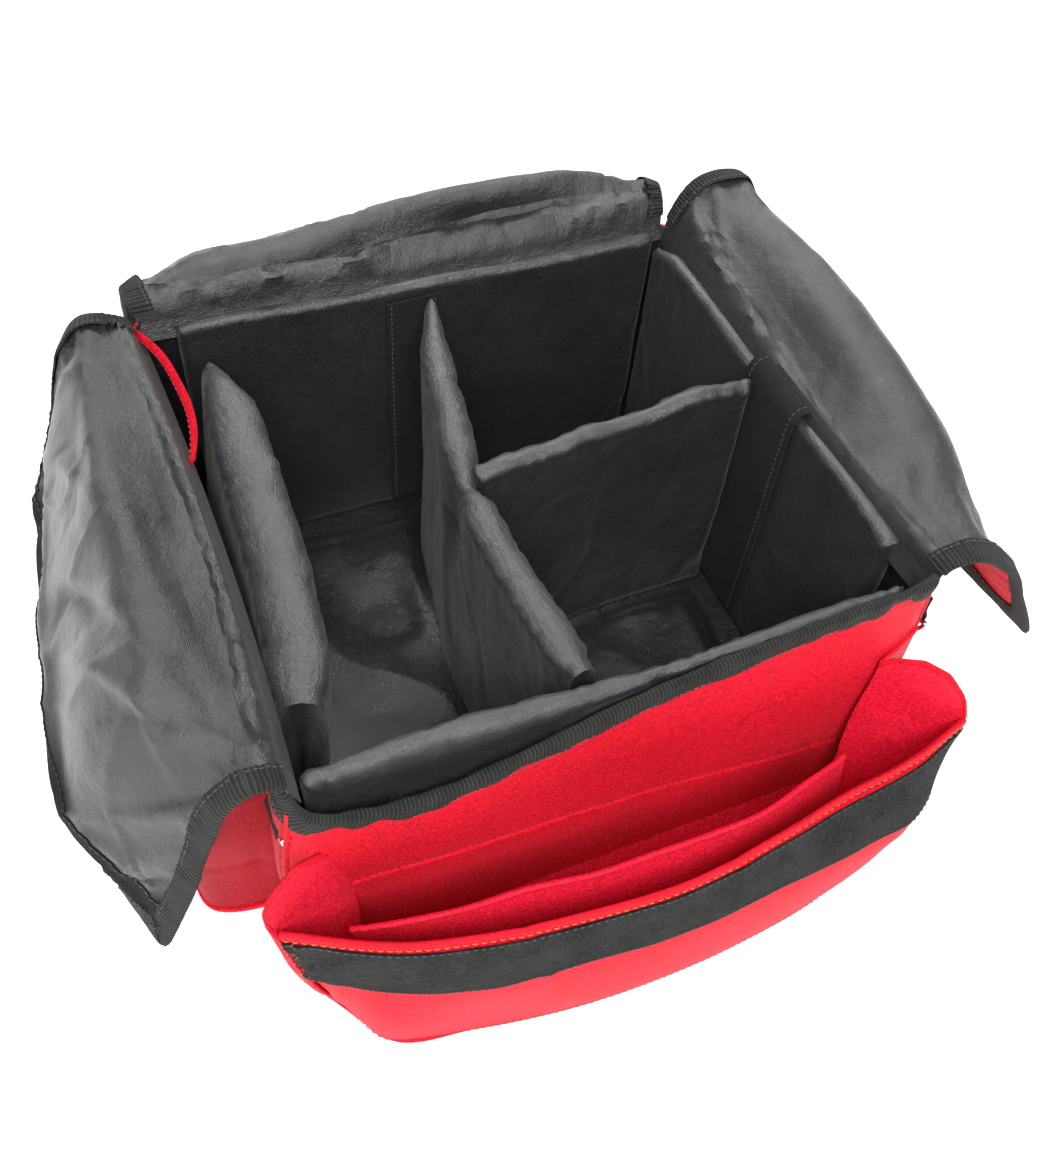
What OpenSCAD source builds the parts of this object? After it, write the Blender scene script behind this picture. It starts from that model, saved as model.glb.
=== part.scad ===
// Soft padded grip bag: an open-topped red box bag with a black lining, two side flaps and a lid
// that meet over the mouth, a bellows pocket on the front, one on the left, and a padded
// insert with two dividers that lift out. The origin is the middle of the base, front is -Y.

/* [Bag body] */
// Width of the bag, left to right
bag_w = 360; // [300:5:420]
// Depth of the bag, front to back
bag_d = 330; // [280:5:380]
// Height of the right rim, the lowest of the three hinge lines
bag_h = 205.4; // [180:1:240]
// Thickness of the outer cloth
cloth_t = 2; // [1:0.5:3]
// Thickness of the lining
lining_t = 1; // [0.5:0.1:1.5]
// Thickness of the stiff board in the base
board_t = 3; // [2:0.5:4]
// Width of the folded binding tape that shows
binding_w = 12; // [8:1:16]
// Thickness of one layer of binding tape
binding_t = 0.8; // [0.5:0.1:1]

/* [Flaps and lid] */
// Thickness of the red cloth of a flap
flap_shell_t = 1; // [0.8:0.1:1.5]
// Thickness of the black lining of a flap
flap_lining_t = 0.8; // [0.5:0.1:1]
// Thickness of the hook tape and the loop tape
tape_t = 1.2; // [0.8:0.1:1.4]
// Width of the tape along a flap's free edge
tape_w = 20; // [15:1:25]
// Length of a side flap from its hinge to its ridge
side_base_l = 52; // [45:1:60]
// Length of a side flap from its ridge to its free edge
side_outer_l = 132; // [125:1:140]
// Rise of a side flap above the level, in degrees, from its hinge to its ridge
side_rise = 36; // [30:1:40]
// Fall of a side flap below the level, in degrees, from its ridge to its free edge
side_fall = 73; // [65:1:78]
// Length of the lid from its hinge to its ridge
lid_base_l = 40; // [36:1:44]
// Length of the lid from its ridge to its free edge
lid_outer_l = 272; // [262:1:274]
// Rise of the lid above the level, in degrees
lid_rise = 38; // [34:1:42]
// Fall of the lid below the level, in degrees
lid_fall = 60; // [56:1:61]

/* [Padded insert] */
// Thickness of the puffy left panel
left_pad_t = 26; // [20:1:28]
// Thickness of the back panel
back_pad_t = 12; // [8:1:14]
// Thickness of the right panel
right_pad_t = 11; // [8:1:14]
// Thickness of the front panel
front_pad_t = 10; // [8:1:12]
// Height of the top of the padded panels above the floor
pad_top = 196; // [180:1:198]
// Thickness of the sleeve round each foam core
sleeve_t = 1; // [0.6:0.1:1.2]

/* [Dividers] */
// Thickness of the long divider
long_t = 16; // [12:1:18]
// Thickness of the cross divider
cross_t = 14; // [12:1:16]
// Height of the top of the dividers above the floor
divider_top = 190; // [170:1:192]

/* [Pockets] */
// Depth of the open front pocket at its ends
pocket_end_d = 56; // [50:1:60]
// How much further the middle of the front pocket stands out
pocket_bow = 20; // [10:1:22]
// Height of the top edge of the front pocket
pocket_h = 120; // [110:1:125]
// Height of the loop tape on the front pocket
pocket_tape_h = 36; // [30:1:40]
// Depth of the left pocket
side_pocket_d = 52; // [40:1:54]
// Length of the left pocket
side_pocket_l = 240; // [200:5:250]
// Height of the left pocket
side_pocket_h = 128; // [110:1:135]

/* [Rings] */
// Clear width inside a ring
ring_w = 22; // [20:1:25]
// Thickness of the ring's wire
wire_d = 3; // [2.5:0.1:3.5]

/* [Hidden] */
$fn = 48;
// Small gap between parts that touch but aren't joined
gap = 0.2;
// Gap between parts that move past each other
play = 0.5;

half_w = bag_w / 2;
half_d = bag_d / 2;
in_w = half_w - cloth_t;
in_d = half_d - cloth_t;
lined_w = in_w - lining_t;
lined_d = in_d - lining_t;
floor_z = cloth_t + board_t + lining_t;
pad_z = floor_z + gap;

// Heights of the three hinge lines: the right flap closes first, then the left flap, then the lid
hinge_clear = 2.1;
right_hinge_z = bag_h + hinge_clear;
left_hinge_z = right_hinge_z + 5;
lid_hinge_z = left_hinge_z + 4.5;
side_hinge_x = half_w - cloth_t / 2;
lid_hinge_y = half_d - cloth_t / 2;
flap_half = half_d - 4;
lid_half = half_w - 6;

// Height of the front rim across the bag, which sags on the left
front_rim = [[-half_w, 204], [-half_w + 14, 182], [-half_w + 60, 174],
             [-half_w + 120, 178], [40, 190], [half_w - 50, 199], [half_w, 204]];

// Plan of the long divider's middle line, from its front end to its back end
long_line = [[-21, -142], [-24, 8], [6, 145]];
// Plan of the cross divider's middle line, from the long divider to the right panel
cross_line = [[-13.2, 6], [162.5, 13]];

// The front pocket's bowed panel is an arc
pocket_half = half_w - 14;
pocket_end_y = -half_d - pocket_end_d;
pocket_r = (pocket_half * pocket_half + pocket_bow * pocket_bow) / (2 * pocket_bow);
pocket_steps = 12;
pocket_z = 1.5;
gusset_t = 1.2;
gusset_wall_z = 150;
organizer_t = 1.2;

side_pocket_z = 4;
side_pocket_t = 1.6;

ring_y = -half_d + 14;
ring_z = 160;
tab_w = ring_w - 2;
tab_t = 1.4;
tab_h = 20;
bore_clear = 0.05;
ring_x = half_w + wire_d / 2 + bore_clear + tab_t;

red = [0.86, 0.09, 0.15];
dark_red = [0.62, 0.05, 0.10];
lining_black = [0.16, 0.16, 0.17];
tape_black = [0.11, 0.12, 0.11];
foam_grey = [0.45, 0.46, 0.48];
steel = [0.78, 0.79, 0.80];

// ---------- shared shapes ----------

// A box from its lowest corner to its highest corner
module box(low, high) {
    translate(low) cube(high - low);
}

// A sleeve: a box that is hollow and open at its top or at its front end
module sleeve(low, high, open_front) {
    front_cut = open_front ? -1 : sleeve_t;
    top_cut = open_front ? sleeve_t : -1;
    difference() {
        box(low, high);
        box(low + [sleeve_t, front_cut, sleeve_t], high - [sleeve_t, sleeve_t, top_cut]);
    }
}

// The foam core that fills such a sleeve
module core(low, high, open_front) {
    inset = sleeve_t + gap;
    front_inset = open_front ? 1 : inset;
    top_inset = open_front ? inset : 1;
    box(low + [inset, front_inset, inset], high - [inset, inset, top_inset]);
}

// A board across the front whose top edge follows the front rim, lowered by drop
module rim_board(x_low, x_high, y_low, y_high, z_low, drop) {
    intersection() {
        translate([0, y_high, 0]) rotate([90, 0, 0]) linear_extrude(y_high - y_low)
            polygon(concat([[-half_w, z_low]], [for (p = front_rim) p - [0, drop]],
                           [[half_w, z_low]]));
        box([x_low, y_low - 1, z_low], [x_high, y_high + 1, 400]);
    }
}

// Unit normal, to the left, of the step from a to b
function left_normal(a, b) = [a.y - b.y, b.x - a.x] / norm(b - a);

// Normal at point i of a line, the mean of its two steps, scaled so that the sides stay parallel
function corner_normal(line, i) =
    let (last = len(line) - 1,
         before = left_normal(line[max(i - 1, 0)], line[max(i, 1)]),
         after = left_normal(line[min(i, last - 1)], line[min(i + 1, last)]),
         mean = (before + after) / norm(before + after))
    mean / (mean * before);

// A band of constant thickness along a plan line
module band(line, thickness) {
    count = len(line);
    left_side = [for (i = [0:count - 1]) line[i] + corner_normal(line, i) * thickness / 2];
    right_side = [for (i = [count - 1:-1:0]) line[i] - corner_normal(line, i) * thickness / 2];
    polygon(concat(left_side, right_side));
}

// The same line with both ends pulled in by inset
function shorten(line, inset) =
    let (last = len(line) - 1,
         first_step = (line[1] - line[0]) / norm(line[1] - line[0]),
         last_step = (line[last - 1] - line[last]) / norm(line[last - 1] - line[last]))
    [for (i = [0:last]) i == 0 ? line[i] + first_step * inset
                      : i == last ? line[i] + last_step * inset : line[i]];

// A divider's sleeve, open at its bottom edge
module divider_sleeve(line, thickness) {
    difference() {
        translate([0, 0, pad_z]) linear_extrude(divider_top - pad_z) band(line, thickness);
        translate([0, 0, pad_z - 1]) linear_extrude(divider_top - pad_z + 1 - sleeve_t)
            band(shorten(line, sleeve_t), thickness - 2 * sleeve_t);
    }
}

// A short web of tape between a divider's end and the tape that holds it
module divider_web(low, high, line, thickness) {
    difference() {
        box(low, high);
        translate([0, 0, low.z - 1]) linear_extrude(high.z - low.z + 2) band(line, thickness);
    }
}

// A divider's foam core
module divider_core(line, thickness) {
    inset = sleeve_t + gap;
    translate([0, 0, pad_z + 1]) linear_extrude(divider_top - pad_z - 1 - inset)
        band(shorten(line, inset), thickness - 2 * inset);
}

// ---------- bag body ----------

module bottom_panel() {
    color(red) box([-half_w, -half_d, 0], [half_w, half_d, cloth_t]);
}

module base_board() {
    color(foam_grey) box([-in_w + 1, -in_d + 1, cloth_t], [in_w - 1, in_d - 1, cloth_t + board_t]);
}

module front_wall() {
    color(red) rim_board(-half_w, half_w, -half_d, -in_d, cloth_t, 2);
}

module back_wall() {
    color(red) box([-half_w, in_d, cloth_t], [half_w, half_d, lid_hinge_z - hinge_clear]);
}

// One side wall; side is -1 for the left and 1 for the right
module side_wall(side, top) {
    color(red) translate([side * (in_w + cloth_t / 2), 0, (cloth_t + top) / 2])
        cube([cloth_t, 2 * in_d, top - cloth_t], center = true);
}

module left_wall() {
    side_wall(-1, left_hinge_z - hinge_clear);
}

module right_wall() {
    side_wall(1, right_hinge_z - hinge_clear);
}

module lining() {
    z_low = cloth_t + board_t;
    color(lining_black) {
        box([-in_w, -in_d, z_low], [in_w, in_d, floor_z]);
        rim_board(-in_w, in_w, -in_d, -lined_d, z_low, 2);
        box([-in_w, lined_d, z_low], [in_w, in_d, lid_hinge_z - hinge_clear]);
        box([-in_w, -in_d, z_low], [-lined_w, in_d, left_hinge_z - hinge_clear]);
        box([lined_w, -in_d, z_low], [in_w, in_d, right_hinge_z - hinge_clear]);
    }
}

// The folded tape over the top edge of the front wall and its lining
module front_binding() {
    color(tape_black) difference() {
        rim_board(-half_w, half_w, -half_d - binding_t, -lined_d + binding_t, 100, 0);
        rim_board(-half_w - 1, half_w + 1, -half_d, -lined_d, 90, 2);
        rim_board(-half_w - 1, half_w + 1, -half_d - 2, -lined_d + 2, 90, binding_w);
        side_wall(-1, 300);
        side_wall(1, 300);
        box([-in_w - 1, -lined_d - 1, 0], [-lined_w, 0, 300]);
        box([lined_w, -lined_d - 1, 0], [in_w + 1, 0, 300]);
    }
}

// A red strip of the outer cloth that turns in over the left rim, near its back end
module left_seam_facing() {
    color(red) box([-lined_w, 45, 188], [-lined_w + 1.2, lined_d - 2, 202]);
}

// ---------- padded insert ----------

left_pad_low = [-lined_w + 14, -112, pad_z];
left_pad_high = [-lined_w + 14 + left_pad_t, lined_d - back_pad_t - gap, pad_top];
back_pad_low = [-lined_w + 22, lined_d - back_pad_t, pad_z];
back_pad_high = [lined_w - right_pad_t - gap, lined_d, pad_top + 4];
right_pad_low = [lined_w - right_pad_t, -131, pad_z];
right_pad_high = [lined_w, lined_d, pad_top - 6];
front_pad_back = -lined_d + front_pad_t;
front_pad_low = [-lined_w + 8, -lined_d + binding_t + gap, pad_z];
front_pad_high = [lined_w - right_pad_t - 4, front_pad_back, pad_top - 6];

module insert_left_cover() {
    color(lining_black) sleeve(left_pad_low, left_pad_high, true);
}

module insert_left_foam() {
    color(foam_grey) core(left_pad_low, left_pad_high, true);
}

module insert_back_cover() {
    color(lining_black) sleeve(back_pad_low, back_pad_high, false);
}

module insert_back_foam() {
    color(foam_grey) core(back_pad_low, back_pad_high, false);
}

module insert_right_cover() {
    color(lining_black) sleeve(right_pad_low, right_pad_high, false);
}

module insert_right_foam() {
    color(foam_grey) core(right_pad_low, right_pad_high, false);
}

// The front panel stands above the sagging part of the front rim
module insert_front_cover() {
    color(lining_black) sleeve(front_pad_low, front_pad_high, false);
}

module insert_front_foam() {
    color(foam_grey) core(front_pad_low, front_pad_high, false);
}

// ---------- dividers ----------

module long_divider_cover() {
    color(lining_black) divider_sleeve(long_line, long_t);
}

module long_divider_foam() {
    color(foam_grey) divider_core(long_line, long_t);
}

// Hook tape at the back end, lying along the back panel to the left of the divider
module long_divider_tab_back() {
    face_y = left_pad_high.y - play;
    color(tape_black) {
        box([-24, face_y - tape_t, 10], [12, face_y, divider_top]);
        divider_web([0, 144, 10], [4, face_y - tape_t, divider_top - 1], long_line, long_t);
    }
}

// Hook tape at the front end, lying along the front panel to the right of the divider
module long_divider_tab_front() {
    face_y = front_pad_back + play;
    color(tape_black) {
        box([-32, face_y, 10], [12, face_y + tape_t, 152]);
        divider_web([-24, face_y + tape_t, 10], [-18, -141, 151], long_line, long_t);
    }
}

module cross_divider_cover() {
    color(lining_black) divider_sleeve(cross_line, cross_t);
}

module cross_divider_foam() {
    color(foam_grey) divider_core(cross_line, cross_t);
}

// Hook tape at the right end, lying along the right panel towards the front
module cross_divider_tab() {
    face_x = lined_w - right_pad_t - play;
    color(tape_black) {
        box([face_x - tape_t, -34, 10], [face_x, 22, divider_top - 4]);
        divider_web([161, 8, 10], [face_x - tape_t, 18, divider_top - 5], cross_line, cross_t);
    }
}

// ---------- front pocket ----------

// Distance that the pocket's arc stands out at x, beyond its ends
function bow_at(x, extra) = sqrt((pocket_r + extra) * (pocket_r + extra) - x * x)
                            - pocket_r + pocket_bow;

// A bowed board in front of the bag, between two distances from the panel's middle arc
module bowed_board(half, inner, outer, z_low, z_high) {
    xs = [for (i = [0:pocket_steps]) -half + 2 * half * i / pocket_steps];
    front_edge = [for (x = xs) [x, pocket_end_y - bow_at(x, outer)]];
    back_edge = [for (i = [pocket_steps:-1:0]) [xs[i], pocket_end_y - bow_at(xs[i], inner)]];
    translate([0, 0, z_low]) linear_extrude(z_high - z_low) polygon(concat(front_edge, back_edge));
}

module pocket_panel() {
    color(red) bowed_board(pocket_half, -cloth_t / 2, cloth_t / 2, pocket_z, pocket_h - 5);
}

module pocket_hem() {
    color(red) bowed_board(pocket_half, -cloth_t, cloth_t, pocket_h - 5, pocket_h);
}

module pocket_loop_tape() {
    color(tape_black) bowed_board(pocket_half - 4, cloth_t / 2 + gap, cloth_t / 2 + gap + tape_t,
                                  pocket_h - 6 - pocket_tape_h, pocket_h - 6);
}

module pocket_organizer() {
    behind = -cloth_t / 2 - gap;
    color(dark_red) bowed_board(pocket_half - 20, behind - organizer_t, behind, 12, pocket_h - 20);
}

// One bellows gusset between the front wall and the pocket's panel
module pocket_gusset(side) {
    x_mid = side * (pocket_half - gusset_t / 2);
    color(red) translate([x_mid - gusset_t / 2, 0, 0]) rotate([90, 0, 90])
        linear_extrude(gusset_t)
            polygon([[-half_d - gap, pocket_z + 2], [-half_d - gap, gusset_wall_z],
                     [pocket_end_y + cloth_t + gap, pocket_h],
                     [pocket_end_y + cloth_t + gap, pocket_z + 2]]);
}

module pocket_gusset_left() {
    pocket_gusset(-1);
}

module pocket_gusset_right() {
    pocket_gusset(1);
}

// The cloth floor of the front pocket
module pocket_bottom() {
    xs = [for (i = [0:pocket_steps]) -pocket_half + 2 * pocket_half * i / pocket_steps];
    front_edge = [for (x = xs) [x, pocket_end_y - bow_at(x, -cloth_t / 2) + gap]];
    color(red) translate([0, 0, pocket_z]) linear_extrude(gusset_t)
        polygon(concat(front_edge, [[pocket_half, -half_d - gap], [-pocket_half, -half_d - gap]]));
}

// ---------- left pocket ----------

// A bellows pocket on the left wall, under the left flap: floor, two ends and a panel
module left_pocket() {
    low = [-half_w - side_pocket_d, -side_pocket_l / 2, side_pocket_z];
    high = [-half_w, side_pocket_l / 2, side_pocket_h];
    color(dark_red) difference() {
        box(low, high);
        box(low + [1, 1, 1] * side_pocket_t, [high.x + 1, high.y - side_pocket_t, high.z + 1]);
    }
}

// ---------- ring tabs and rings ----------

// A webbing tab that is folded round the straight bar of a ring
module ring_tab(side) {
    outer_r = wire_d / 2 + bore_clear + tab_t;
    color(tape_black) difference() {
        union() {
            translate([side * ring_x, ring_y, ring_z]) rotate([90, 0, 0])
                cylinder(r = outer_r, h = tab_w, center = true);
            translate([side * (half_w + tab_t), ring_y, ring_z + tab_h / 2])
                cube([2 * tab_t, tab_w, tab_h], center = true);
        }
        translate([side * ring_x, ring_y, ring_z]) rotate([90, 0, 0])
            cylinder(r = wire_d / 2 + bore_clear, h = tab_w + 2, center = true);
    }
}

module ring_tab_left() {
    ring_tab(-1);
}

module ring_tab_right() {
    ring_tab(1);
}

// A ring of round wire shaped like a D, its straight bar in the tab and its bow hanging down
module d_ring(side) {
    bend_r = (ring_w + wire_d) / 2;
    color(steel) translate([side * ring_x, ring_y, ring_z]) {
        rotate([90, 0, 0]) cylinder(d = wire_d, h = 2 * bend_r, center = true);
        for (end = [-1, 1])
            translate([0, end * bend_r, 0]) sphere(d = wire_d);
        rotate([0, 90, 0]) rotate([0, 0, -90]) rotate_extrude(angle = 180)
            translate([bend_r, 0]) circle(d = wire_d);
    }
}

module d_ring_left() {
    d_ring(-1);
}

module d_ring_right() {
    d_ring(1);
}

// ---------- flaps and lid ----------

// Places a flap: its hinge is the Y axis, it runs out along +X and its lining is on its +Z face
module at_left() {
    translate([-side_hinge_x, 0, left_hinge_z]) rotate([0, 0, 180]) children();
}

module at_right() {
    translate([side_hinge_x, 0, right_hinge_z]) children();
}

module at_lid() {
    translate([0, lid_hinge_y, lid_hinge_z]) rotate([0, 0, 90]) children();
}

// From the hinge to the ridge
module on_base(rise) {
    rotate([0, -rise, 0]) children();
}

// From the ridge to the free edge
module on_outer(base_l, rise, fall) {
    translate([base_l * cos(rise), 0, base_l * sin(rise)]) rotate([0, fall, 0]) children();
}

// Distance from the ridge at which the two stretches end, so that they clear each other folded
ridge_gap = 2.4;

module slab(x_low, x_high, half, z_low, z_high) {
    box([x_low, -half, z_low], [x_high, half, z_high]);
}

// Folded tape along both side edges of a stretch, and along its free edge when it has one
module edge_binding(x_low, x_high, half, free_edge) {
    z_low = -flap_shell_t - binding_t;
    z_high = flap_lining_t + binding_t;
    x_end = free_edge ? x_high + binding_t : x_high;
    difference() {
        slab(x_low, x_end, half + binding_t, z_low, z_high);
        slab(x_low - 1, x_high, half, -flap_shell_t, flap_lining_t);
        slab(x_low - 1, free_edge ? x_high - binding_w : x_high + 1, half - binding_w,
             z_low - 1, z_high + 1);
    }
}

module base_shell(base_l, half) {
    color(red) slab(0, base_l - ridge_gap, half, -flap_shell_t, 0);
}

module base_lining(base_l, half) {
    color(lining_black) slab(0, base_l - ridge_gap, half, 0, flap_lining_t);
}

module base_binding(base_l, half) {
    color(tape_black) edge_binding(4, base_l - ridge_gap - 1, half, false);
}

module outer_shell(outer_l, half) {
    color(red) slab(ridge_gap, outer_l, half, -flap_shell_t, 0);
}

module outer_lining(outer_l, half) {
    color(lining_black) slab(ridge_gap, outer_l, half, 0, flap_lining_t);
}

module outer_binding(outer_l, half) {
    color(tape_black) edge_binding(ridge_gap + 1, outer_l, half, true);
}

// Tape just inside the free edge, on the lining or on the red cloth
module edge_tape(outer_l, half, on_lining) {
    x_high = outer_l - binding_w - 1;
    z_low = on_lining ? flap_lining_t : -flap_shell_t - tape_t;
    color(tape_black) slab(x_high - tape_w, x_high, half - binding_w - 2, z_low, z_low + tape_t);
}

module left_flap_base_shell() {
    at_left() on_base(side_rise) base_shell(side_base_l, flap_half);
}

module left_flap_base_lining() {
    at_left() on_base(side_rise) base_lining(side_base_l, flap_half);
}

module left_flap_base_binding() {
    at_left() on_base(side_rise) base_binding(side_base_l, flap_half);
}

module left_flap_shell() {
    at_left() on_outer(side_base_l, side_rise, side_fall) outer_shell(side_outer_l, flap_half);
}

module left_flap_lining() {
    at_left() on_outer(side_base_l, side_rise, side_fall) outer_lining(side_outer_l, flap_half);
}

module left_flap_binding() {
    at_left() on_outer(side_base_l, side_rise, side_fall) outer_binding(side_outer_l, flap_half);
}

module left_flap_hook_tape() {
    at_left() on_outer(side_base_l, side_rise, side_fall)
        edge_tape(side_outer_l, flap_half, true);
}

module right_flap_base_shell() {
    at_right() on_base(side_rise) base_shell(side_base_l, flap_half);
}

module right_flap_base_lining() {
    at_right() on_base(side_rise) base_lining(side_base_l, flap_half);
}

module right_flap_base_binding() {
    at_right() on_base(side_rise) base_binding(side_base_l, flap_half);
}

module right_flap_shell() {
    at_right() on_outer(side_base_l, side_rise, side_fall) outer_shell(side_outer_l, flap_half);
}

module right_flap_lining() {
    at_right() on_outer(side_base_l, side_rise, side_fall) outer_lining(side_outer_l, flap_half);
}

module right_flap_binding() {
    at_right() on_outer(side_base_l, side_rise, side_fall) outer_binding(side_outer_l, flap_half);
}

module right_flap_loop_tape() {
    at_right() on_outer(side_base_l, side_rise, side_fall)
        edge_tape(side_outer_l, flap_half, false);
}

module lid_base_shell() {
    at_lid() on_base(lid_rise) base_shell(lid_base_l, lid_half);
}

module lid_base_lining() {
    at_lid() on_base(lid_rise) base_lining(lid_base_l, lid_half);
}

module lid_base_binding() {
    at_lid() on_base(lid_rise) base_binding(lid_base_l, lid_half);
}

module lid_shell() {
    at_lid() on_outer(lid_base_l, lid_rise, lid_fall) outer_shell(lid_outer_l, lid_half);
}

module lid_lining() {
    at_lid() on_outer(lid_base_l, lid_rise, lid_fall) outer_lining(lid_outer_l, lid_half);
}

module lid_binding() {
    at_lid() on_outer(lid_base_l, lid_rise, lid_fall) outer_binding(lid_outer_l, lid_half);
}

module lid_hook_tape() {
    at_lid() on_outer(lid_base_l, lid_rise, lid_fall) edge_tape(lid_outer_l, lid_half, true);
}

// ---------- the nodes ----------

bottom_panel();
base_board();
front_wall();
back_wall();
left_wall();
right_wall();
lining();
front_binding();
left_seam_facing();
insert_left_cover();
insert_left_foam();
insert_back_cover();
insert_back_foam();
insert_right_cover();
insert_right_foam();
insert_front_cover();
insert_front_foam();
left_pocket();
ring_tab_left();
ring_tab_right();
d_ring_left();
d_ring_right();
long_divider_cover();
long_divider_foam();
long_divider_tab_back();
long_divider_tab_front();
cross_divider_cover();
cross_divider_foam();
cross_divider_tab();
pocket_panel();
pocket_hem();
pocket_loop_tape();
pocket_organizer();
pocket_gusset_left();
pocket_gusset_right();
pocket_bottom();
left_flap_base_shell();
left_flap_base_lining();
left_flap_base_binding();
left_flap_shell();
left_flap_lining();
left_flap_binding();
left_flap_hook_tape();
right_flap_base_shell();
right_flap_base_lining();
right_flap_base_binding();
right_flap_shell();
right_flap_lining();
right_flap_binding();
right_flap_loop_tape();
lid_base_shell();
lid_base_lining();
lid_base_binding();
lid_shell();
lid_lining();
lid_binding();
lid_hook_tape();
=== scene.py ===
"""Looks of a soft, divided, red grip bag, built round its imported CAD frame.
Lengths are in mm until a mesh is made."""

import math

import bmesh
import bpy
import numpy as np
from mathutils import Matrix, Vector


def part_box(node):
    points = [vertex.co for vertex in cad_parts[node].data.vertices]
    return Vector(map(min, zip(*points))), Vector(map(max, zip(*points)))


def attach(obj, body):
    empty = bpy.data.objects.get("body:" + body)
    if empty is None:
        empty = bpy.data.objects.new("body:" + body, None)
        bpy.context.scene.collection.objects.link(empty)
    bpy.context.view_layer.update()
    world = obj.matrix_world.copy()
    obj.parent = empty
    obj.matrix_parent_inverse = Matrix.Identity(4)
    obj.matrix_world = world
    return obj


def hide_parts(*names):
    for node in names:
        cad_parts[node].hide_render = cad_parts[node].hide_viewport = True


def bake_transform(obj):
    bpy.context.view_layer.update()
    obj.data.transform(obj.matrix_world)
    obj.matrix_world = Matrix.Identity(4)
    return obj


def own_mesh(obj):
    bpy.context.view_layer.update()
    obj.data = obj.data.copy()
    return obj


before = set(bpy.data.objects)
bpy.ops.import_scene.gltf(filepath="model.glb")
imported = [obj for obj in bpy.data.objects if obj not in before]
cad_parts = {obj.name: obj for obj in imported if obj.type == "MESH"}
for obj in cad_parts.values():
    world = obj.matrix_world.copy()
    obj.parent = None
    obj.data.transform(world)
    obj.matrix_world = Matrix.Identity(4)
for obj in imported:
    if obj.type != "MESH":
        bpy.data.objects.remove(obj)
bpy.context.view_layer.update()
MM = 0.001
TAU = 2 * math.pi


def box_mm(node):
    """Lowest and highest corner of a CAD node, in mm."""
    low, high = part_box(node)
    return np.array(low) / MM, np.array(high) / MM


# ---------------------------------------------------------------- numbers shared with the frame

HALF_W = box_mm("bottom_panel")[1][0]
HALF_D = box_mm("bottom_panel")[1][1]
TOP_LEFT = box_mm("left_wall")[1][2]
TOP_RIGHT = box_mm("right_wall")[1][2]
FLOOR_Z = box_mm("insert_left_cover")[0][2]
DRAPE_LIMIT = 8.0       # how far the cloth of a flap may move as it is draped
POUCH_ROOT = -179       # where the left side pouch meets the wall

# ---------------------------------------------------------------- curves, noise and grids


def smooth(t):
    """Rises softly from 0 at 0 to 1 at 1."""
    t = np.clip(t, 0, 1)
    return t * t * (3 - 2 * t)


def bump(x, middle, width):
    """A soft hill of height 1."""
    return np.exp(-(((x - middle) / width) ** 2))


def cubic(knots, values, x):
    """Smooth curve through values at knots, read at x."""
    k, v, x = np.asarray(knots, float), np.asarray(values, float), np.asarray(x, float)
    tail = v.shape[1:]
    v = v.reshape(len(k), -1)
    h = np.diff(k)
    d = np.diff(v, axis=0) / h[:, None]
    m = np.empty_like(v)
    m[0], m[-1] = d[0], d[-1]
    if len(k) > 2:
        a, b = h[:-1, None], h[1:, None]
        m[1:-1] = (b * d[:-1] + a * d[1:]) / (a + b)
    flat = np.clip(x.ravel(), k[0], k[-1])
    i = np.clip(np.searchsorted(k, flat, "right") - 1, 0, len(h) - 1)
    t = ((flat - k[i]) / h[i])[:, None]
    hi = h[i][:, None]
    out = (
        (2 * t**3 - 3 * t**2 + 1) * v[i]
        + (t**3 - 2 * t**2 + t) * hi * m[i]
        + (3 * t**2 - 2 * t**3) * v[i + 1]
        + (t**3 - t**2) * hi * m[i + 1]
    )
    return out.reshape(x.shape + tail)


def along(points):
    """Running length of a line of points."""
    steps = np.linalg.norm(np.diff(points, axis=0), axis=1)
    return np.concatenate([[0], np.cumsum(steps)])


def read_at(x, knots, values):
    """Each column of values, read at x."""
    return np.stack([np.interp(x, knots, values[:, c]) for c in range(values.shape[1])], -1)


def unit(vectors):
    """The same directions, all of length 1."""
    return vectors / np.linalg.norm(vectors, axis=-1, keepdims=True)


def square_to(vectors, n):
    """The part of each vector that is square to a unit vector."""
    return vectors - (vectors * n).sum(-1, keepdims=True) * n


def resample(points, count):
    """The smooth line through points, in evenly spaced steps."""
    points = np.asarray(points, float)
    fine = cubic(along(points), points, np.linspace(0, along(points)[-1], 12 * len(points)))
    s = along(fine)
    return read_at(np.linspace(0, s[-1], count), s, fine)


def plan_line(points, count):
    """The smooth line through the points of a plan, at height 0."""
    return resample(np.pad(np.asarray(points, float), ((0, 0), (0, 1))), count)


def net(rows, count_t, count_s, crisp=False):
    """A surface through rows of control points: (count_t, count_s, 3). It is smooth along the
    rows, or folds at each point of a row when crisp."""
    rows = np.asarray(rows, float)
    knots_s = np.mean([along(r) / along(r)[-1] for r in rows], axis=0)
    middle = rows[:, rows.shape[1] // 2]
    knots_t = along(middle) / along(middle)[-1]
    s, t = np.linspace(0, 1, count_s), np.linspace(0, 1, count_t)
    if crisp:
        across = np.stack([read_at(s, knots_s, r) for r in rows])
        across[:, 1:-1] = (across[:, :-2] + 2 * across[:, 1:-1] + across[:, 2:]) / 4
    else:
        across = np.stack([cubic(knots_s, r, s) for r in rows])
    return cubic(knots_t, across, t)


def waves(points, seed, size, stretch=(1, 1, 1), count=26):
    """A smooth random field of spread 1 whose features are about size mm."""
    rng = np.random.default_rng(seed)
    k = unit(rng.normal(size=(count, 3)))
    k *= (TAU / size / 1.6) * rng.uniform(0.55, 1.5, count)[:, None] / np.asarray(stretch, float)
    phase = rng.uniform(0, TAU, count)
    flat = points.reshape(-1, 3)
    out = np.cos(flat @ k.T + phase).sum(1) * math.sqrt(2 / count)
    return out.reshape(points.shape[:-1])


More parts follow.
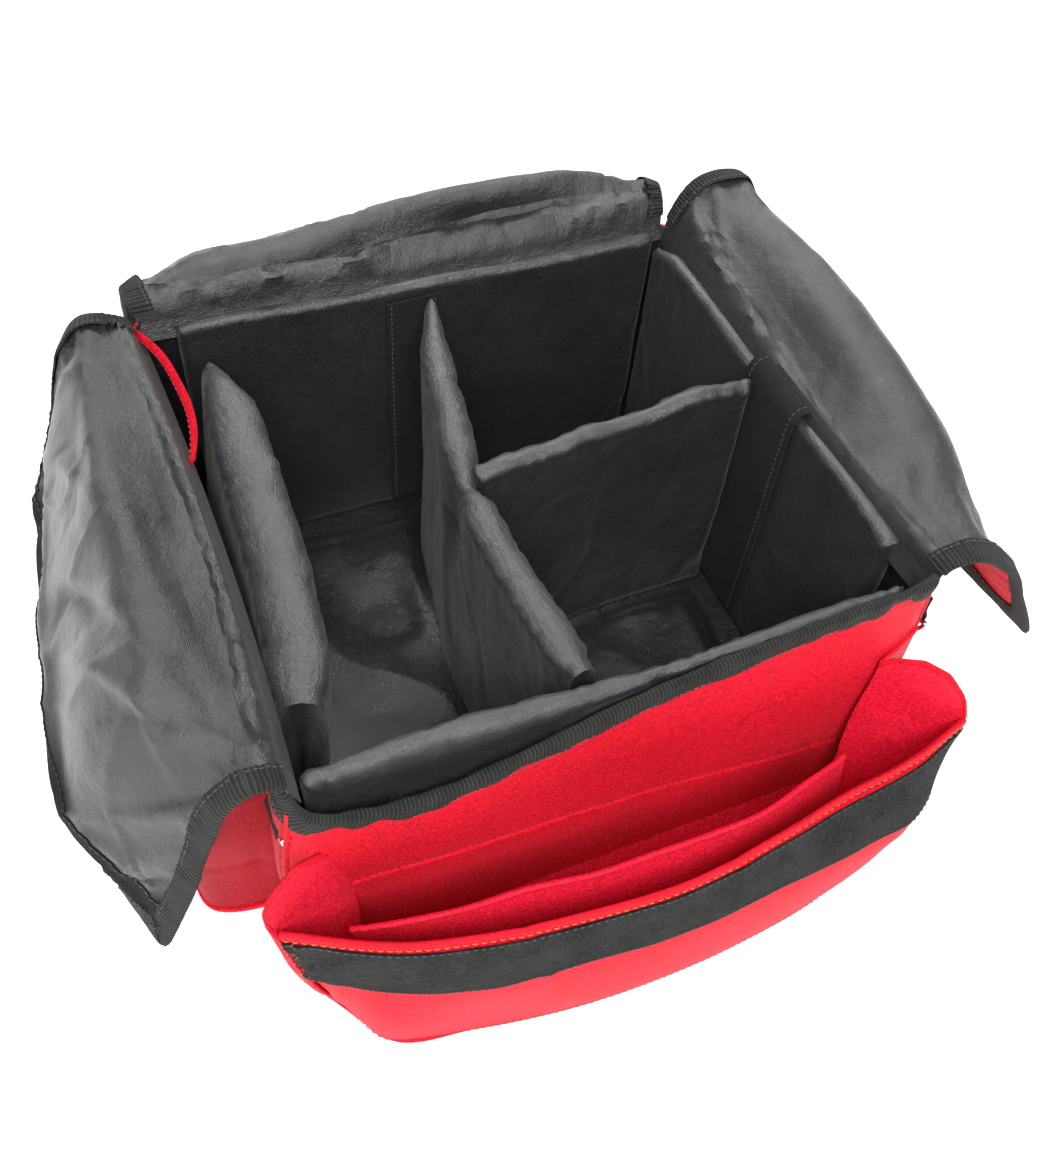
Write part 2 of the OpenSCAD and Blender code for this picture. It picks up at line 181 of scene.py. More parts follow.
def tents(points, seed, size, stretch=(1, 1, 1)):
    """Straight-sided ridges, as in crumpled cloth."""
    return 1 - np.abs(waves(points, seed, size, stretch)) / 1.3


def creases(points, seed, size, stretch=(1, 1, 1), sharp=0.16):
    """Thin ridges of height 1, where a random field crosses zero."""
    return np.exp(-((waves(points, seed, size, stretch) / sharp) ** 2))


def normals(grid, wrap=False):
    """Unit normals of a grid of points."""
    if wrap:
        dt = np.roll(grid, -1, 0) - np.roll(grid, 1, 0)
    else:
        dt = np.gradient(grid, axis=0)
    ds = np.gradient(grid, axis=1)
    n = np.cross(dt, ds)
    return n / np.maximum(np.linalg.norm(n, axis=-1, keepdims=True), 1e-9)


# ---------------------------------------------------------------- materials


class Nodes:
    """Short names for building a node tree."""

    def __init__(self, name):
        self.material = bpy.data.materials.new(name)
        self.material.use_nodes = True
        self.tree = self.material.node_tree
        self.shader = self.tree.nodes["Principled BSDF"]
        self.object = self.tree.nodes.new("ShaderNodeTexCoord").outputs["Object"]
        self.uv = self.tree.nodes.new("ShaderNodeUVMap").outputs["UV"]

    def add(self, kind, inputs=(), out=0, **settings):
        """A new node with its inputs and settings; gives one of its outputs."""
        node = self.tree.nodes.new(kind)
        for key, value in settings.items():
            setattr(node, key, value)
        for key, value in dict(inputs).items():
            self.feed(node.inputs[key], value)
        return node.outputs[out]

    def feed(self, socket, value):
        """Links a socket to another one, or sets its value."""
        if isinstance(value, bpy.types.NodeSocket):
            self.tree.links.new(value, socket)
        else:
            socket.default_value = value

    def math(self, operation, a, b=0.0):
        return self.add("ShaderNodeMath", {0: a, 1: b}, operation=operation)

    def noise(self, scale, detail=4.0, rough=0.6, where=None):
        return self.add(
            "ShaderNodeTexNoise",
            {"Vector": where or self.object, "Scale": scale, "Detail": detail, "Roughness": rough},
        )

    def ridges(self, axis, pitch, where):
        """A sine wave along one axis, with the given pitch in metres."""
        part = self.add("ShaderNodeSeparateXYZ", {0: where}, out=axis)
        return self.math("SINE", self.math("MULTIPLY", part, TAU / pitch))

    def ramp(self, value, low, high, a, b):
        """Colour or grey from a at low to b at high."""
        node = self.tree.nodes.new("ShaderNodeValToRGB")
        self.feed(node.inputs[0], value)
        for element, place, colour in zip(node.color_ramp.elements, (low, high), (a, b)):
            element.position = place
            element.color = (*colour, 1) if hasattr(colour, "__len__") else (colour,) * 3 + (1,)
        return node.outputs[0]

    def mix(self, share, a, b, blend="MIX"):
        """Blends two colours."""
        node = self.tree.nodes.new("ShaderNodeMix")
        node.data_type, node.blend_type = "RGBA", blend
        for socket, value in zip((node.inputs[0], node.inputs[6], node.inputs[7]), (share, a, b)):
            if hasattr(value, "__len__") and not isinstance(value, bpy.types.NodeSocket):
                value = (*value, 1)
            self.feed(socket, value)
        return node.outputs[2]

    def sum(self, *terms):
        """Weighted sum of (weight, value) terms."""
        total = None
        for weight, value in terms:
            part = self.math("MULTIPLY", value, weight)
            total = part if total is None else self.math("ADD", total, part)
        return total

    def finish(self, colour, rough, height, depth, strength=1.0, **sockets):
        """Wires the shader. depth is the bump's depth in metres."""
        s = self.shader.inputs
        self.feed(s["Base Color"], colour)
        self.feed(s["Roughness"], rough)
        normal = self.add("ShaderNodeBump", {"Strength": strength, "Distance": depth, "Height": height})
        self.feed(s["Normal"], normal)
        for key, value in sockets.items():
            self.feed(s[key.replace("_", " ")], value)
        return self.material


def red_cloth(name, light, dark, seed):
    """Woven nylon: a fine grid of threads, faint slubs and a cloudy, uneven tone."""
    m = Nodes(name)
    shift = m.add("ShaderNodeMapping", {"Vector": m.object, "Location": (seed, seed * 0.7, 0.0)})
    threads = m.sum((0.5, m.ridges(0, 0.0013, m.uv)), (0.5, m.ridges(1, 0.0011, m.uv)))
    slub = m.noise(620.0, 4.0, 0.75)
    cloudy = m.noise(9.0, 4.0, 0.55, shift)
    puckers = m.noise(60.0, 3.0, 0.5, shift)
    body = m.ramp(cloudy, 0.32, 0.7, dark, light)
    grain = m.ramp(m.sum((1.0, slub), (0.05, threads)), 0.40, 0.60, 0.5, 1.0)
    colour = m.mix(1.0, body, grain, "MULTIPLY")
    rough = m.ramp(slub, 0.2, 0.8, 0.5, 0.68)
    height = m.sum((0.08, threads), (1.1, slub), (1.1, puckers))
    return m.finish(colour, rough, height, 0.0006, 0.7, Sheen_Weight=0.06, Sheen_Roughness=0.4,
                    Sheen_Tint=(1.0, 0.35, 0.42, 1.0), Specular_IOR_Level=0.16)


def lining_cloth(name, light, dark, gloss, seed, depth=0.0010, sheen=0.12):
    """Coated nylon: smooth, a little shiny, with fine crumples."""
    m = Nodes(name)
    shift = m.add("ShaderNodeMapping", {"Vector": m.object, "Location": (seed, -seed, seed * 0.3)})
    threads = m.sum((0.5, m.ridges(0, 0.0010, m.uv)), (0.5, m.ridges(1, 0.0010, m.uv)))
    cloudy = m.noise(11.0, 5.0, 0.6, shift)
    crumple = m.noise(38.0, 4.0, 0.62, shift)
    folded = m.add("ShaderNodeTexVoronoi", {"Vector": shift, "Scale": 26.0}, feature="SMOOTH_F1")
    fine = m.noise(620.0, 4.0, 0.75)
    body = m.ramp(cloudy, 0.3, 0.72, dark, light)
    colour = m.mix(1.0, body, m.ramp(fine, 0.34, 0.64, 0.5, 1.0), "MULTIPLY")
    rough = m.sum((1.0, m.ramp(crumple, 0.3, 0.7, gloss - 0.05, gloss + 0.07)), (0.14, fine))
    height = m.sum((0.05, threads), (0.45, fine), (1.9, crumple), (0.9, folded))
    return m.finish(colour, rough, height, depth, 0.7, Specular_IOR_Level=0.95,
                    Specular_Tint=(0.95, 0.96, 0.94, 1.0), Sheen_Weight=sheen, Sheen_Roughness=0.3,
                    Sheen_Tint=(0.92, 0.94, 0.9, 1.0))


def ribbed_tape(name, light, dark, pitch):
    """Woven tape with ribs across it."""
    m = Nodes(name)
    ribs = m.ridges(0, pitch, m.uv)
    warp = m.ridges(1, pitch * 0.8, m.uv)
    fibre = m.noise(1200.0, 3.0, 0.7)
    uneven = m.noise(70.0, 3.0, 0.6)
    body = m.ramp(uneven, 0.3, 0.7, dark, light)
    shade = m.ramp(m.sum((0.35, ribs), (0.9, fibre)), 0.05, 0.75, 0.3, 1.0)
    colour = m.mix(1.0, body, shade, "MULTIPLY")
    height = m.sum((0.8, ribs), (0.15, warp), (0.6, fibre), (1.5, uneven))
    return m.finish(colour, m.ramp(fibre, 0.2, 0.8, 0.6, 0.8), height, 0.0006, 0.8,
                    Sheen_Weight=0.03, Sheen_Roughness=0.5, Specular_IOR_Level=0.16)


def napped_tape(name, light, dark):
    """Hook or loop tape: a matted nap of loops."""
    m = Nodes(name)
    nap = m.noise(380.0, 6.0, 0.8)
    loops = m.add("ShaderNodeTexVoronoi", {"Vector": m.object, "Scale": 1100.0})
    patches = m.noise(45.0, 3.0, 0.6)
    tone = m.sum((0.6, nap), (0.35, patches), (0.12, loops))
    colour = m.ramp(tone, 0.44, 0.64, dark, light)
    height = m.sum((1.0, nap), (0.5, loops), (0.5, patches))
    return m.finish(colour, 0.92, height, 0.0012, 0.9, Sheen_Weight=0.05, Sheen_Roughness=0.6,
                    Specular_IOR_Level=0.1)


def pressed_board(name, light, dark, scale):
    """Stiff board of pressed fibre."""
    m = Nodes(name)
    cells = m.add("ShaderNodeTexVoronoi", {"Vector": m.object, "Scale": scale})
    cloud = m.noise(scale * 0.1)
    colour = m.ramp(m.sum((0.5, cells), (0.5, cloud)), 0.2, 0.7, dark, light)
    return m.finish(colour, 0.9, m.sum((1.0, cells), (0.4, cloud)), 0.0006, 0.7,
                    Specular_IOR_Level=0.2)


def thread(name, colour):
    """Twisted sewing thread."""
    m = Nodes(name)
    twist = m.ridges(0, 0.0006, m.object)
    fuzz = m.noise(1500.0)
    shade = m.ramp(m.sum((0.4, twist), (0.7, fuzz)), 0.0, 0.8, 0.7, 1.0)
    return m.finish(m.mix(1.0, colour, shade, "MULTIPLY"), 0.7, twist, 0.0002, 0.5)


def plated_steel(name):
    """Bright plated wire, a little smeared."""
    m = Nodes(name)
    smear = m.noise(60.0, 4.0, 0.6)
    fine = m.noise(900.0, 2.0, 0.5)
    colour = m.ramp(smear, 0.3, 0.7, (0.62, 0.63, 0.64), (0.86, 0.87, 0.88))
    rough = m.ramp(smear, 0.3, 0.75, 0.1, 0.24)
    return m.finish(colour, rough, fine, 0.00005, 0.4, Metallic=1.0)


RED = red_cloth("red_nylon", (0.90, 0.006, 0.030), (0.76, 0.004, 0.020), 0.3)
# A brighter, more saturated copy of the red nylon: painted light, standing for the light that falls into
# the front pocket.
RED_PAINTED_LIGHT = red_cloth("red_nylon_painted_light", (1.0, 0.016, 0.055), (0.92, 0.010, 0.040), 1.7)
# A darker copy of the red nylon: painted shade, standing for the shadow on the left side pouch under the
# flap.
RED_PAINTED_SHADE = red_cloth("red_nylon_painted_shade", (0.52, 0.008, 0.022), (0.36, 0.005, 0.014), 2.9)
LINING = lining_cloth("coated_lining", (0.018, 0.017, 0.021), (0.008, 0.008, 0.011), 0.22, 0.4, 0.0018)
FLAP_LINING = lining_cloth("flap_lining", (0.0135, 0.0137, 0.0130), (0.0055, 0.0057, 0.0054), 0.29,
                           2.2, 0.0019, 0.14)
PAD_CLOTH = lining_cloth("sleeve_cloth", (0.029, 0.028, 0.032), (0.014, 0.014, 0.017), 0.27, 1.3, 0.0017)
BINDING = ribbed_tape("binding", (0.036, 0.040, 0.034), (0.018, 0.020, 0.017), 0.0021)
WEBBING = ribbed_tape("webbing", (0.020, 0.021, 0.021), (0.011, 0.012, 0.012), 0.0022)
LOOP_TAPE = napped_tape("loop_tape", (0.024, 0.025, 0.024), (0.001, 0.001, 0.001))
HOOK_TAPE = napped_tape("hook_tape", (0.013, 0.014, 0.014), (0.006, 0.006, 0.007))
DARK_STITCH = thread("dark_thread", (0.10, 0.105, 0.095))
RED_STITCH = thread("red_thread", (0.55, 0.02, 0.04))
ORANGE_STITCH = thread("orange_thread", (0.72, 0.22, 0.07))
BOARD = pressed_board("base_board", (0.34, 0.32, 0.30), (0.24, 0.23, 0.21), 300.0)
STEEL = plated_steel("plated_steel")

# ---------------------------------------------------------------- building meshes


class Shape:
    """Collects grids, tubes and threads, and makes one object of them."""

    def __init__(self, name):
        self.name = name
        self.points, self.faces, self.uvs, self.kinds, self.materials = [], [], [], [], []

    def kind(self, material):
        """The number of a material in this shape."""
        if material not in self.materials:
            self.materials.append(material)
        return self.materials.index(material)

    def add(self, points, faces, face_uvs, material):
        """Adds faces, each with its own texture places, in one material."""
        base = len(self.points)
        self.points.extend(np.asarray(points, float).reshape(-1, 3).tolist())
        k = self.kind(material)
        for f, uv in zip(faces, face_uvs):
            self.faces.append([base + i for i in f])
            self.uvs.append(uv)
            self.kinds.append(k)
        return self

    def slab(self, grid, low, high, material, wrap=False, flip=False):
        """A closed sheet between two distances from a grid, measured along its normals."""
        n = normals(grid, wrap) * (-1 if flip else 1)
        top, bottom = grid + n * np.asarray(high)[..., None], grid + n * np.asarray(low)[..., None]
        nt, ns = grid.shape[:2]
        u = along(grid[:, ns // 2]) * MM
        if wrap:
            u = np.append(u, u[-1] + u[1])
        else:
            u = np.append(u, u[-1])
        v = along(grid[nt // 2]) * MM
        faces, uvs = [], []
        size = nt * ns
        for i in range(nt if wrap else nt - 1):
            j = (i + 1) % nt
            for k in range(ns - 1):
                quad = [i * ns + k, j * ns + k, j * ns + k + 1, i * ns + k + 1]
                uv = [(u[i], v[k]), (u[i + 1], v[k]), (u[i + 1], v[k + 1]), (u[i], v[k + 1])]
                if flip:
                    quad, uv = quad[::-1], uv[::-1]
                faces.append(quad)
                uvs.append(uv)
                faces.append([size + a for a in quad[::-1]])
                uvs.append(uv[::-1])
        rims = [[(i, 0) for i in range(nt)], [(i, ns - 1) for i in range(nt)][::-1]]
        if not wrap:
            rims += [[(0, k) for k in range(ns)][::-1], [(nt - 1, k) for k in range(ns)]]
        for rim in rims:
            loop = rim + rim[:1] if wrap else rim
            for (i, k), (j, l) in zip(loop, loop[1:]):
                a, b = i * ns + k, j * ns + l
                quad = [b, a, size + a, size + b]
                uv = [(u[j], v[l]), (u[i], v[k]), (u[i], v[k] + 0.001), (u[j], v[l] + 0.001)]
                if flip:
                    quad, uv = quad[::-1], uv[::-1]
                faces.append(quad)
                uvs.append(uv)
        return self.add(np.concatenate([top.reshape(-1, 3), bottom.reshape(-1, 3)]), faces, uvs,
                        material)

    def tube(self, path, side, up, ring, material):
        """A ring of (side, up) offsets swept along a path, with both ends closed."""
        path, side, up = (np.asarray(a, float) for a in (path, side, up))
        ring = np.asarray(ring, float)
        if ring.ndim == 2:
            ring = np.broadcast_to(ring, (len(path), *ring.shape))
        n, m = ring.shape[:2]
        points = path[:, None] + side[:, None] * ring[..., :1] + up[:, None] * ring[..., 1:]
        u = along(path) * MM
        v = np.append(along(ring[0]), 0) * MM
        v[-1] = v[-2] + np.linalg.norm(ring[0][0] - ring[0][-1]) * MM
        faces, uvs = [], []
        for i in range(n - 1):
            j = i + 1
            for k in range(m):
                l = (k + 1) % m
                faces.append([i * m + k, i * m + l, j * m + l, j * m + k])
                uvs.append([(u[i], v[k]), (u[i], v[k + 1]), (u[i + 1], v[k + 1]), (u[i + 1], v[k])])
        for i, order in ((0, range(m - 1, -1, -1)), (n - 1, range(m))):
            faces.append([i * m + k for k in order])
            uvs.append([(v[k], u[i]) for k in order])
        return self.add(points.reshape(-1, 3), faces, uvs, material)

    def stitches(self, path, normal, material, length=3.0, space=1.4, radius=0.34, seed=1):
        """A row of short raised threads along a path, each arched out of the cloth."""
        path, normal = np.asarray(path, float), np.asarray(normal, float)
        s = along(path)
        rng = np.random.default_rng(seed)
        start = space
        around = np.arange(5) * TAU / 5
        while start + length < s[-1]:
            here = start + np.linspace(0, length, 4) + rng.uniform(-0.12, 0.12)
            p = read_at(here, s, path)
            n = unit(read_at(here, s, normal))
            run = p[-1] - p[0]
            run /= max(np.linalg.norm(run), 1e-9)
            side = np.cross(n, run)
            p = p + n * (np.array([-0.25, 0.28, 0.28, -0.25]) * radius / 0.34)[:, None]
            thick = radius * np.array([0.7, 1.0, 1.0, 0.7])
            ring = np.stack([np.cos(around), np.sin(around)], 1)[None] * thick[:, None, None]
            self.tube(p, side, n, ring, material)
            start += length + space
        return self

    def make(self, sharp=48.0):
        """One object of everything added; edges sharper than this angle stay crisp."""
        mesh = bpy.data.meshes.new(self.name)
        mesh.from_pydata((np.array(self.points) * MM).tolist(), [], self.faces)
        layer = mesh.uv_layers.new(name="UVMap")
        flat = np.array([c for uv in self.uvs for p in uv for c in p], np.float32)
        layer.data.foreach_set("uv", flat)
        for m in self.materials:
            mesh.materials.append(m)
        mesh.polygons.foreach_set("material_index", np.array(self.kinds, np.int32))
        mesh.polygons.foreach_set("use_smooth", np.full(len(self.faces), True))
        mesh.update()
        mesh.set_sharp_from_angle(angle=math.radians(sharp))
        obj = bpy.data.objects.new(self.name, mesh)
        bpy.context.scene.collection.objects.link(obj)
        return obj


def binding_ring(width, half):
    """Cross-section of a tape folded over an edge: (distance in from the edge, height)."""
    out = [(width, half), (width * 0.55, half + 0.35), (1.6, half + 0.25), (0.0, half * 0.95),
           (-1.1, half * 0.55), (-1.4, 0.0)]
    lower = [(a, -b) for a, b in out[-2::-1]]
    inner = [(width, -half + 0.7), (0.8, -half + 0.7), (0.8, half - 0.7), (width, half - 0.7)]
    return np.array(out + lower + inner)


def bind(shape, edge, inward, normal, width, half, seed, wobble):
    """Folds binding tape over an edge, with a row of stitches near its inner side on both faces."""
    ring = np.broadcast_to(binding_ring(width, half), (len(edge), 15, 2)).copy()
    drift = waves(edge, seed, 26) * wobble
    rows = [0, 1, 9, 10, 11, 14]
    ring[:, rows, 0] += drift[:, None] * np.array([1, 0.5, 0.5, 1, 1, 1])
    lump = waves(edge, seed + 5, 14) * 0.16
    ring[:, :11, 1] *= (1 + lump)[:, None]
    shape.tube(edge, inward, normal, ring, BINDING)
    for sign in (1, -1):
        line = edge + inward * (width - 2.2 + drift[:, None]) + normal * sign * (half + 0.12)
        shape.stitches(line, normal * sign, DARK_STITCH, 2.6, 1.3, 0.3, seed)


def sheet(obj):
    """Gives back a piece of cloth as it is."""
    return obj


def stand_for(obj, slot, *nodes):
    """Stands for CAD nodes by hiding them. Its slot is not used."""
    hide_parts(*nodes)
    return obj


def show_as(obj, body, slot, *nodes):
    """Rides on a body and stands for CAD nodes. Its slot is not used."""
    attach(obj, body)
    return stand_for(obj, slot, *nodes)


def fold_pocket(obj, slot, *nodes):
    """Gives a piece of the front pocket its own mesh, and sets it on the bag."""
    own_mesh(obj)
    return show_as(obj, "bag", slot, *nodes)


# ---------------------------------------------------------------- camera, light and floor

scene = bpy.context.scene
scene.view_settings.view_transform = "Standard"


def place_camera(azimuth, elevation, roll, distance, target, lens):
    """Turns a camera about the bag, rolls it and aims it at the target. Angles are in degrees."""
    a, e, r = (math.radians(x) for x in (azimuth, elevation, roll))
    back = Vector((math.sin(a) * math.cos(e), -math.cos(a) * math.cos(e), math.sin(e)))
    right = (-back).cross(Vector((0, 0, 1))).normalized()
    up = right.cross(-back)
    right, up = right * math.cos(r) + up * math.sin(r), up * math.cos(r) - right * math.sin(r)
    data = bpy.data.cameras.new("camera")
    data.lens, data.sensor_width = lens, 36.0
    data.clip_start, data.clip_end = 0.02, 30.0
    camera = bpy.data.objects.new("camera", data)
    turn = Matrix((right, up, back)).transposed().to_4x4()
    camera.matrix_world = Matrix.Translation(Vector(target) + back * distance) @ turn
    scene.collection.objects.link(camera)
    scene.camera = camera


def area_light(name, place, target, size, power):
    """A rectangular lamp that faces its target."""
    data = bpy.data.lights.new(name, "AREA")
    data.shape, data.size, data.size_y = "RECTANGLE", size[0], size[1]
    data.energy = power
    lamp = bpy.data.objects.new(name, data)
    lamp.location = place
    lamp.rotation_euler = (Vector(target) - Vector(place)).to_track_quat("-Z", "Y").to_euler()
    scene.collection.objects.link(lamp)


place_camera(-27.36, 52.63, 5.87, 0.6874, (-0.0150, -0.0569, 0.150), 37.26)
area_light("softbox_back", (0.5, 1.3, 1.6), (0, 0.05, 0.1), (1.0, 0.6), 30.0)
area_light("softbox_front", (-0.45, -1.2, 1.75), (0, -0.1, 0.1), (1.1, 0.9), 50.0)
area_light("softbox_left", (-1.9, -0.4, 0.7), (0, 0, 0.1), (0.6, 0.9), 5.0)

world = bpy.data.worlds.new("studio")
world.use_nodes = True
world.node_tree.nodes["Background"].inputs["Color"].default_value = (1.0, 1.0, 1.0, 1.0)
world.node_tree.nodes["Background"].inputs["Strength"].default_value = 0.64
scene.world = world

floor_mesh = bpy.data.meshes.new("studio_floor")
floor_mesh.from_pydata([(-6, -6, -0.0004), (6, -6, -0.0004), (6, 6, -0.0004), (-6, 6, -0.0004)], [],
                       [(0, 1, 2, 3)])
floor_obj = bpy.data.objects.new("studio_floor", floor_mesh)
scene.collection.objects.link(floor_obj)
floor_nodes = Nodes("floor_paper")
floor_mesh.materials.append(floor_nodes.finish(
    floor_nodes.ramp(floor_nodes.noise(3.0), 0.3, 0.7, (0.93, 0.93, 0.92), (0.96, 0.96, 0.95)), 0.8,
    floor_nodes.noise(400.0), 0.0001, 0.1, Emission_Color=(1.0, 1.0, 1.0, 1.0), Emission_Strength=0.18))

# ---------------------------------------------------------------- bag body: shell and lining

FRONT_RIM = ((-180, 203), (-168, 184), (-150, 176), (-120, 172), (-60, 177), (40, 190), (130, 199),
             (180, 203))
BACK_RIM = ((-180, 208), (-104, 207), (-54, 204), (18, 200), (87, 201), (180, 199))


def corner_path(count, radius):
    """Plan of a rounded rectangle, counter-clockwise from the back middle."""
    w, d, r = HALF_W, HALF_D, radius
    points = []
    segments = [((0, d), (-w + r, d)), ((-w, d - r), (-w, -d + r)), ((-w + r, -d), (w - r, -d)),
                ((w, -d + r), (w, d - r)), ((w - r, d), (0, d))]
    centres = [(-w + r, d - r, 90), (-w + r, -d + r, 180), (w - r, -d + r, 270), (w - r, d - r, 0)]
    for i, (a, b) in enumerate(segments):
        points += [np.array(a) + (np.array(b) - np.array(a)) * t for t in np.linspace(0, 1, 40)]
        if i < 4:
            cx, cy, start = centres[i]
            for t in np.linspace(0, 1, 12)[1:-1]:
                a = math.radians(start + 90 * t)
                points.append(np.array((cx + r * math.cos(a), cy + r * math.sin(a))))
    points = np.array(points)
    s = along(points)
    return read_at(np.linspace(0, s[-1], count, endpoint=False), s, points)


def rim_height(x, y):
    """Height of the bag's top edge at a point of its plan."""
    front = cubic(*zip(*FRONT_RIM), x)
    back = cubic(*zip(*BACK_RIM), x)
    side = np.where(x < 0, TOP_LEFT - 5, TOP_RIGHT - 6 - 1.5 * bump(y, 0, 110))
    near_front = smooth((-y - HALF_D + 9) / 8)
    near_back = smooth((y - HALF_D + 9) / 8)
    return side * (1 - near_front) * (1 - near_back) + front * near_front + back * near_back


def body_grid(rows, radius=13.0, count=260):
    """The bag's walls: (around, from the foot to the rim, 3), with its sag and bulges."""
    plan = corner_path(count, radius)
    x, y = plan[:, None, 0], plan[:, None, 1]
    share = np.linspace(0, 1, rows)[None, :]
    top = rim_height(x, y)
    z = 1.0 + (top - 1.0) * share
    grid = np.stack(np.broadcast_arrays(x, y, z), -1).copy()
    belly = np.sin(np.pi * np.clip(z / 205, 0, 1)) ** 0.8
    at_front, at_back = smooth((-y - 120) / 45), smooth((y - 120) / 45)
    at_left, at_right = smooth((-x - 135) / 45), smooth((x - 135) / 45)
    wide = 1 - (np.abs(x) / 200) ** 4
    deep = 1 - (np.abs(y) / 185) ** 4
    # the front wall leans out where its rim sags, and the front left corner swells
    grid[..., 1] -= at_front * (2.5 * belly * wide + 7.0 * bump(x, -110, 75) * share[0] ** 1.5)
    grid[..., 1] += at_back * 1.5 * belly * wide
    grid[..., 0] -= at_left * (1.2 * belly * deep - 5.5 * bump(y, 0, 105) * smooth((z - 90) / 110))
    grid[..., 0] += at_right * (1.2 * belly * deep - 4.0 * bump(y, -10, 95) * smooth((z - 90) / 110))
    corner = bump(x, -180, 30) * bump(y, -165, 34)
    grid[..., 0] -= corner * 9.0 * bump(z, 120, 55)
    grid[..., 1] -= corner * 4.0 * bump(z, 115, 50)
    soft = waves(grid, 11, 120) * 1.0 + waves(grid, 12, 48, (1, 1, 2)) * 0.35
    soft *= smooth(z / 30) * smooth((top + 6 - z) / 22)
    n = normals(grid, True)
    grid = grid - n * soft[..., None]
    return grid


body = body_grid(56)
out_sign = np.sign((normals(body, True)[..., :2] * body[..., :2]).sum())
body_out = normals(body, True) * out_sign


def close_floor(grid, z, rows=16):
    """Rings that run from the foot of the walls to the middle of the base."""
    foot = grid[:, 0]
    rings = []
    for t in np.linspace(0, 1, rows + 1)[1:]:
        ring = foot.copy()
        ring[:, :2] *= 1 - t * 0.985
        ring[:, 2] = z
        rings.append(ring)
    return np.stack(rings[::-1], 1)


SEAM_RIDGE = [(-1.6, -0.4), (-1.1, 0.7), (0, 1.2), (1.1, 0.7), (1.6, -0.4)]
SEAM_FOLD = [(-2.2, -0.5), (-1.4, 0.7), (0.6, 0.9), (1.6, 0.2), (2.0, -0.5)]
UP = np.array([0, 0, 1.0])


def corner_seams(shell):
    """A seam up each corner of the walls."""
    for cx, cy in ((-1, -1), (1, -1), (1, 1), (-1, 1)):
        i = int(np.argmax(cx * body[:, 20, 0] / HALF_W + cy * body[:, 20, 1] / HALF_D))
        line, n = body[i, 2:-3], body_out[i, 2:-3]
        side = np.cross(n, UP)
        shell.tube(line + n * 0.2, side, n, SEAM_RIDGE, RED)
        shell.stitches(line + n * 0.3 + side * 3.2, n, RED_STITCH, 2.8, 1.4, 0.28, 3 + cx)


def front_seam(shell):
    """The slanting seam across the front wall, inside the pocket."""
    columns = [i for i in range(len(body)) if body[i, 20, 1] < -HALF_D + 6 and abs(body[i, 20, 0]) < 158]
    line, out = [], []
    for i in columns:
        z = cubic((-160, -116, 58, 160), (104, 99, 67, 52), body[i, 0, 0])
        k = int(np.argmin(np.abs(body[i, :, 2] - z)))
        line.append(body[i, k] * [1, 1, 0] + UP * z)
        out.append(body_out[i, k])
    count = 120
    line = resample(line, count)
    out = read_at(np.linspace(0, 1, count), np.linspace(0, 1, len(out)), np.array(out))
    shell.tube(line + out * 0.15, np.tile(UP, (count, 1)), out, SEAM_FOLD, RED)
    shell.stitches(line + out * 0.3 + UP * 3.4, out, RED_STITCH, 2.8, 1.4, 0.28, 9)


def bag_shell():
    """The red cloth: the base and the four walls in one skin, with its seams."""
    shell = Shape("bag_shell")
    shell.slab(np.concatenate([close_floor(body, 0.3), body], 1), -1.6 * out_sign, 0.0, RED, wrap=True)
    corner_seams(shell)
    front_seam(shell)
    return show_as(shell.make(), "bag", "red_cloth", "bottom_panel", "front_wall", "back_wall",
                   "left_wall", "right_wall")


def lining_walls():
    """The lining inside the walls, with its creases."""
    wall = body - body_out * 2.5
    wall[..., 2] = np.clip(wall[..., 2], FLOOR_Z - 1.2, None)
    crumple = creases(wall, 31, 46) * 0.9 + waves(wall, 32, 22) * 0.25
    crumple *= smooth((wall[..., 2] - 14) / 20) * smooth((204 - wall[..., 2]) / 24)
    return wall - body_out * crumple[..., None]


def lining_bottom(wall):
    """The lining on the floor, crumpled where no panel stands on it."""
    bottom = close_floor(wall, FLOOR_Z - 0.9, 60)
    x, y = bottom[..., 0], bottom[..., 1]
    away = smooth((150 - np.abs(x)) / 20) * smooth((135 - np.abs(y)) / 20)
    long_x = cubic((-142, 8, 145), (-21, -24, 6), y)
    clear = smooth((np.abs(x - long_x) - 10) / 14)
    clear *= np.where(x > -20, smooth((np.abs(y - 10) - 9) / 14), 1)
    heap = tents(bottom, 41, 100) * 8.0 + tents(bottom, 44, 46, (1, 1.6, 1)) * 3.0
    bottom[..., 2] += np.clip(heap, 0, 11) * away * clear
    return bottom


def bag_lining():
    """The black lining: the floor and the four walls in one skin."""
    wall = lining_walls()
    lining = Shape("bag_lining")
    low, high = (0.0, 0.8) if out_sign > 0 else (-0.8, 0.0)
    lining.slab(np.concatenate([lining_bottom(wall), wall], 1), low, high, LINING, wrap=True)
    return show_as(lining.make(), "bag", "black_lining", "lining")


def front_rim_binding():
    """Binding tape folded over the front wall's rim."""
    edge = np.array([row[-1] for row in body
                     if row[-1, 1] < -HALF_D + 7 and abs(row[-1, 0]) < HALF_W + 2])
    edge = resample(edge[np.argsort(edge[:, 0])], 240) + np.array([0, 1.2, 1.2])
    run = unit(np.gradient(edge, axis=0))
    down = unit(square_to(np.tile([0.0, 0.10, -1.0], (240, 1)), run))
    face = np.cross(run, -down)
    face *= -np.sign(face[:, 1:2])
    tape = Shape("front_rim_binding")
    bind(tape, edge, down, face, 12.5, 2.7, 21, 0.9)
    return show_as(tape.make(), "bag", "binding_tape", "front_binding")


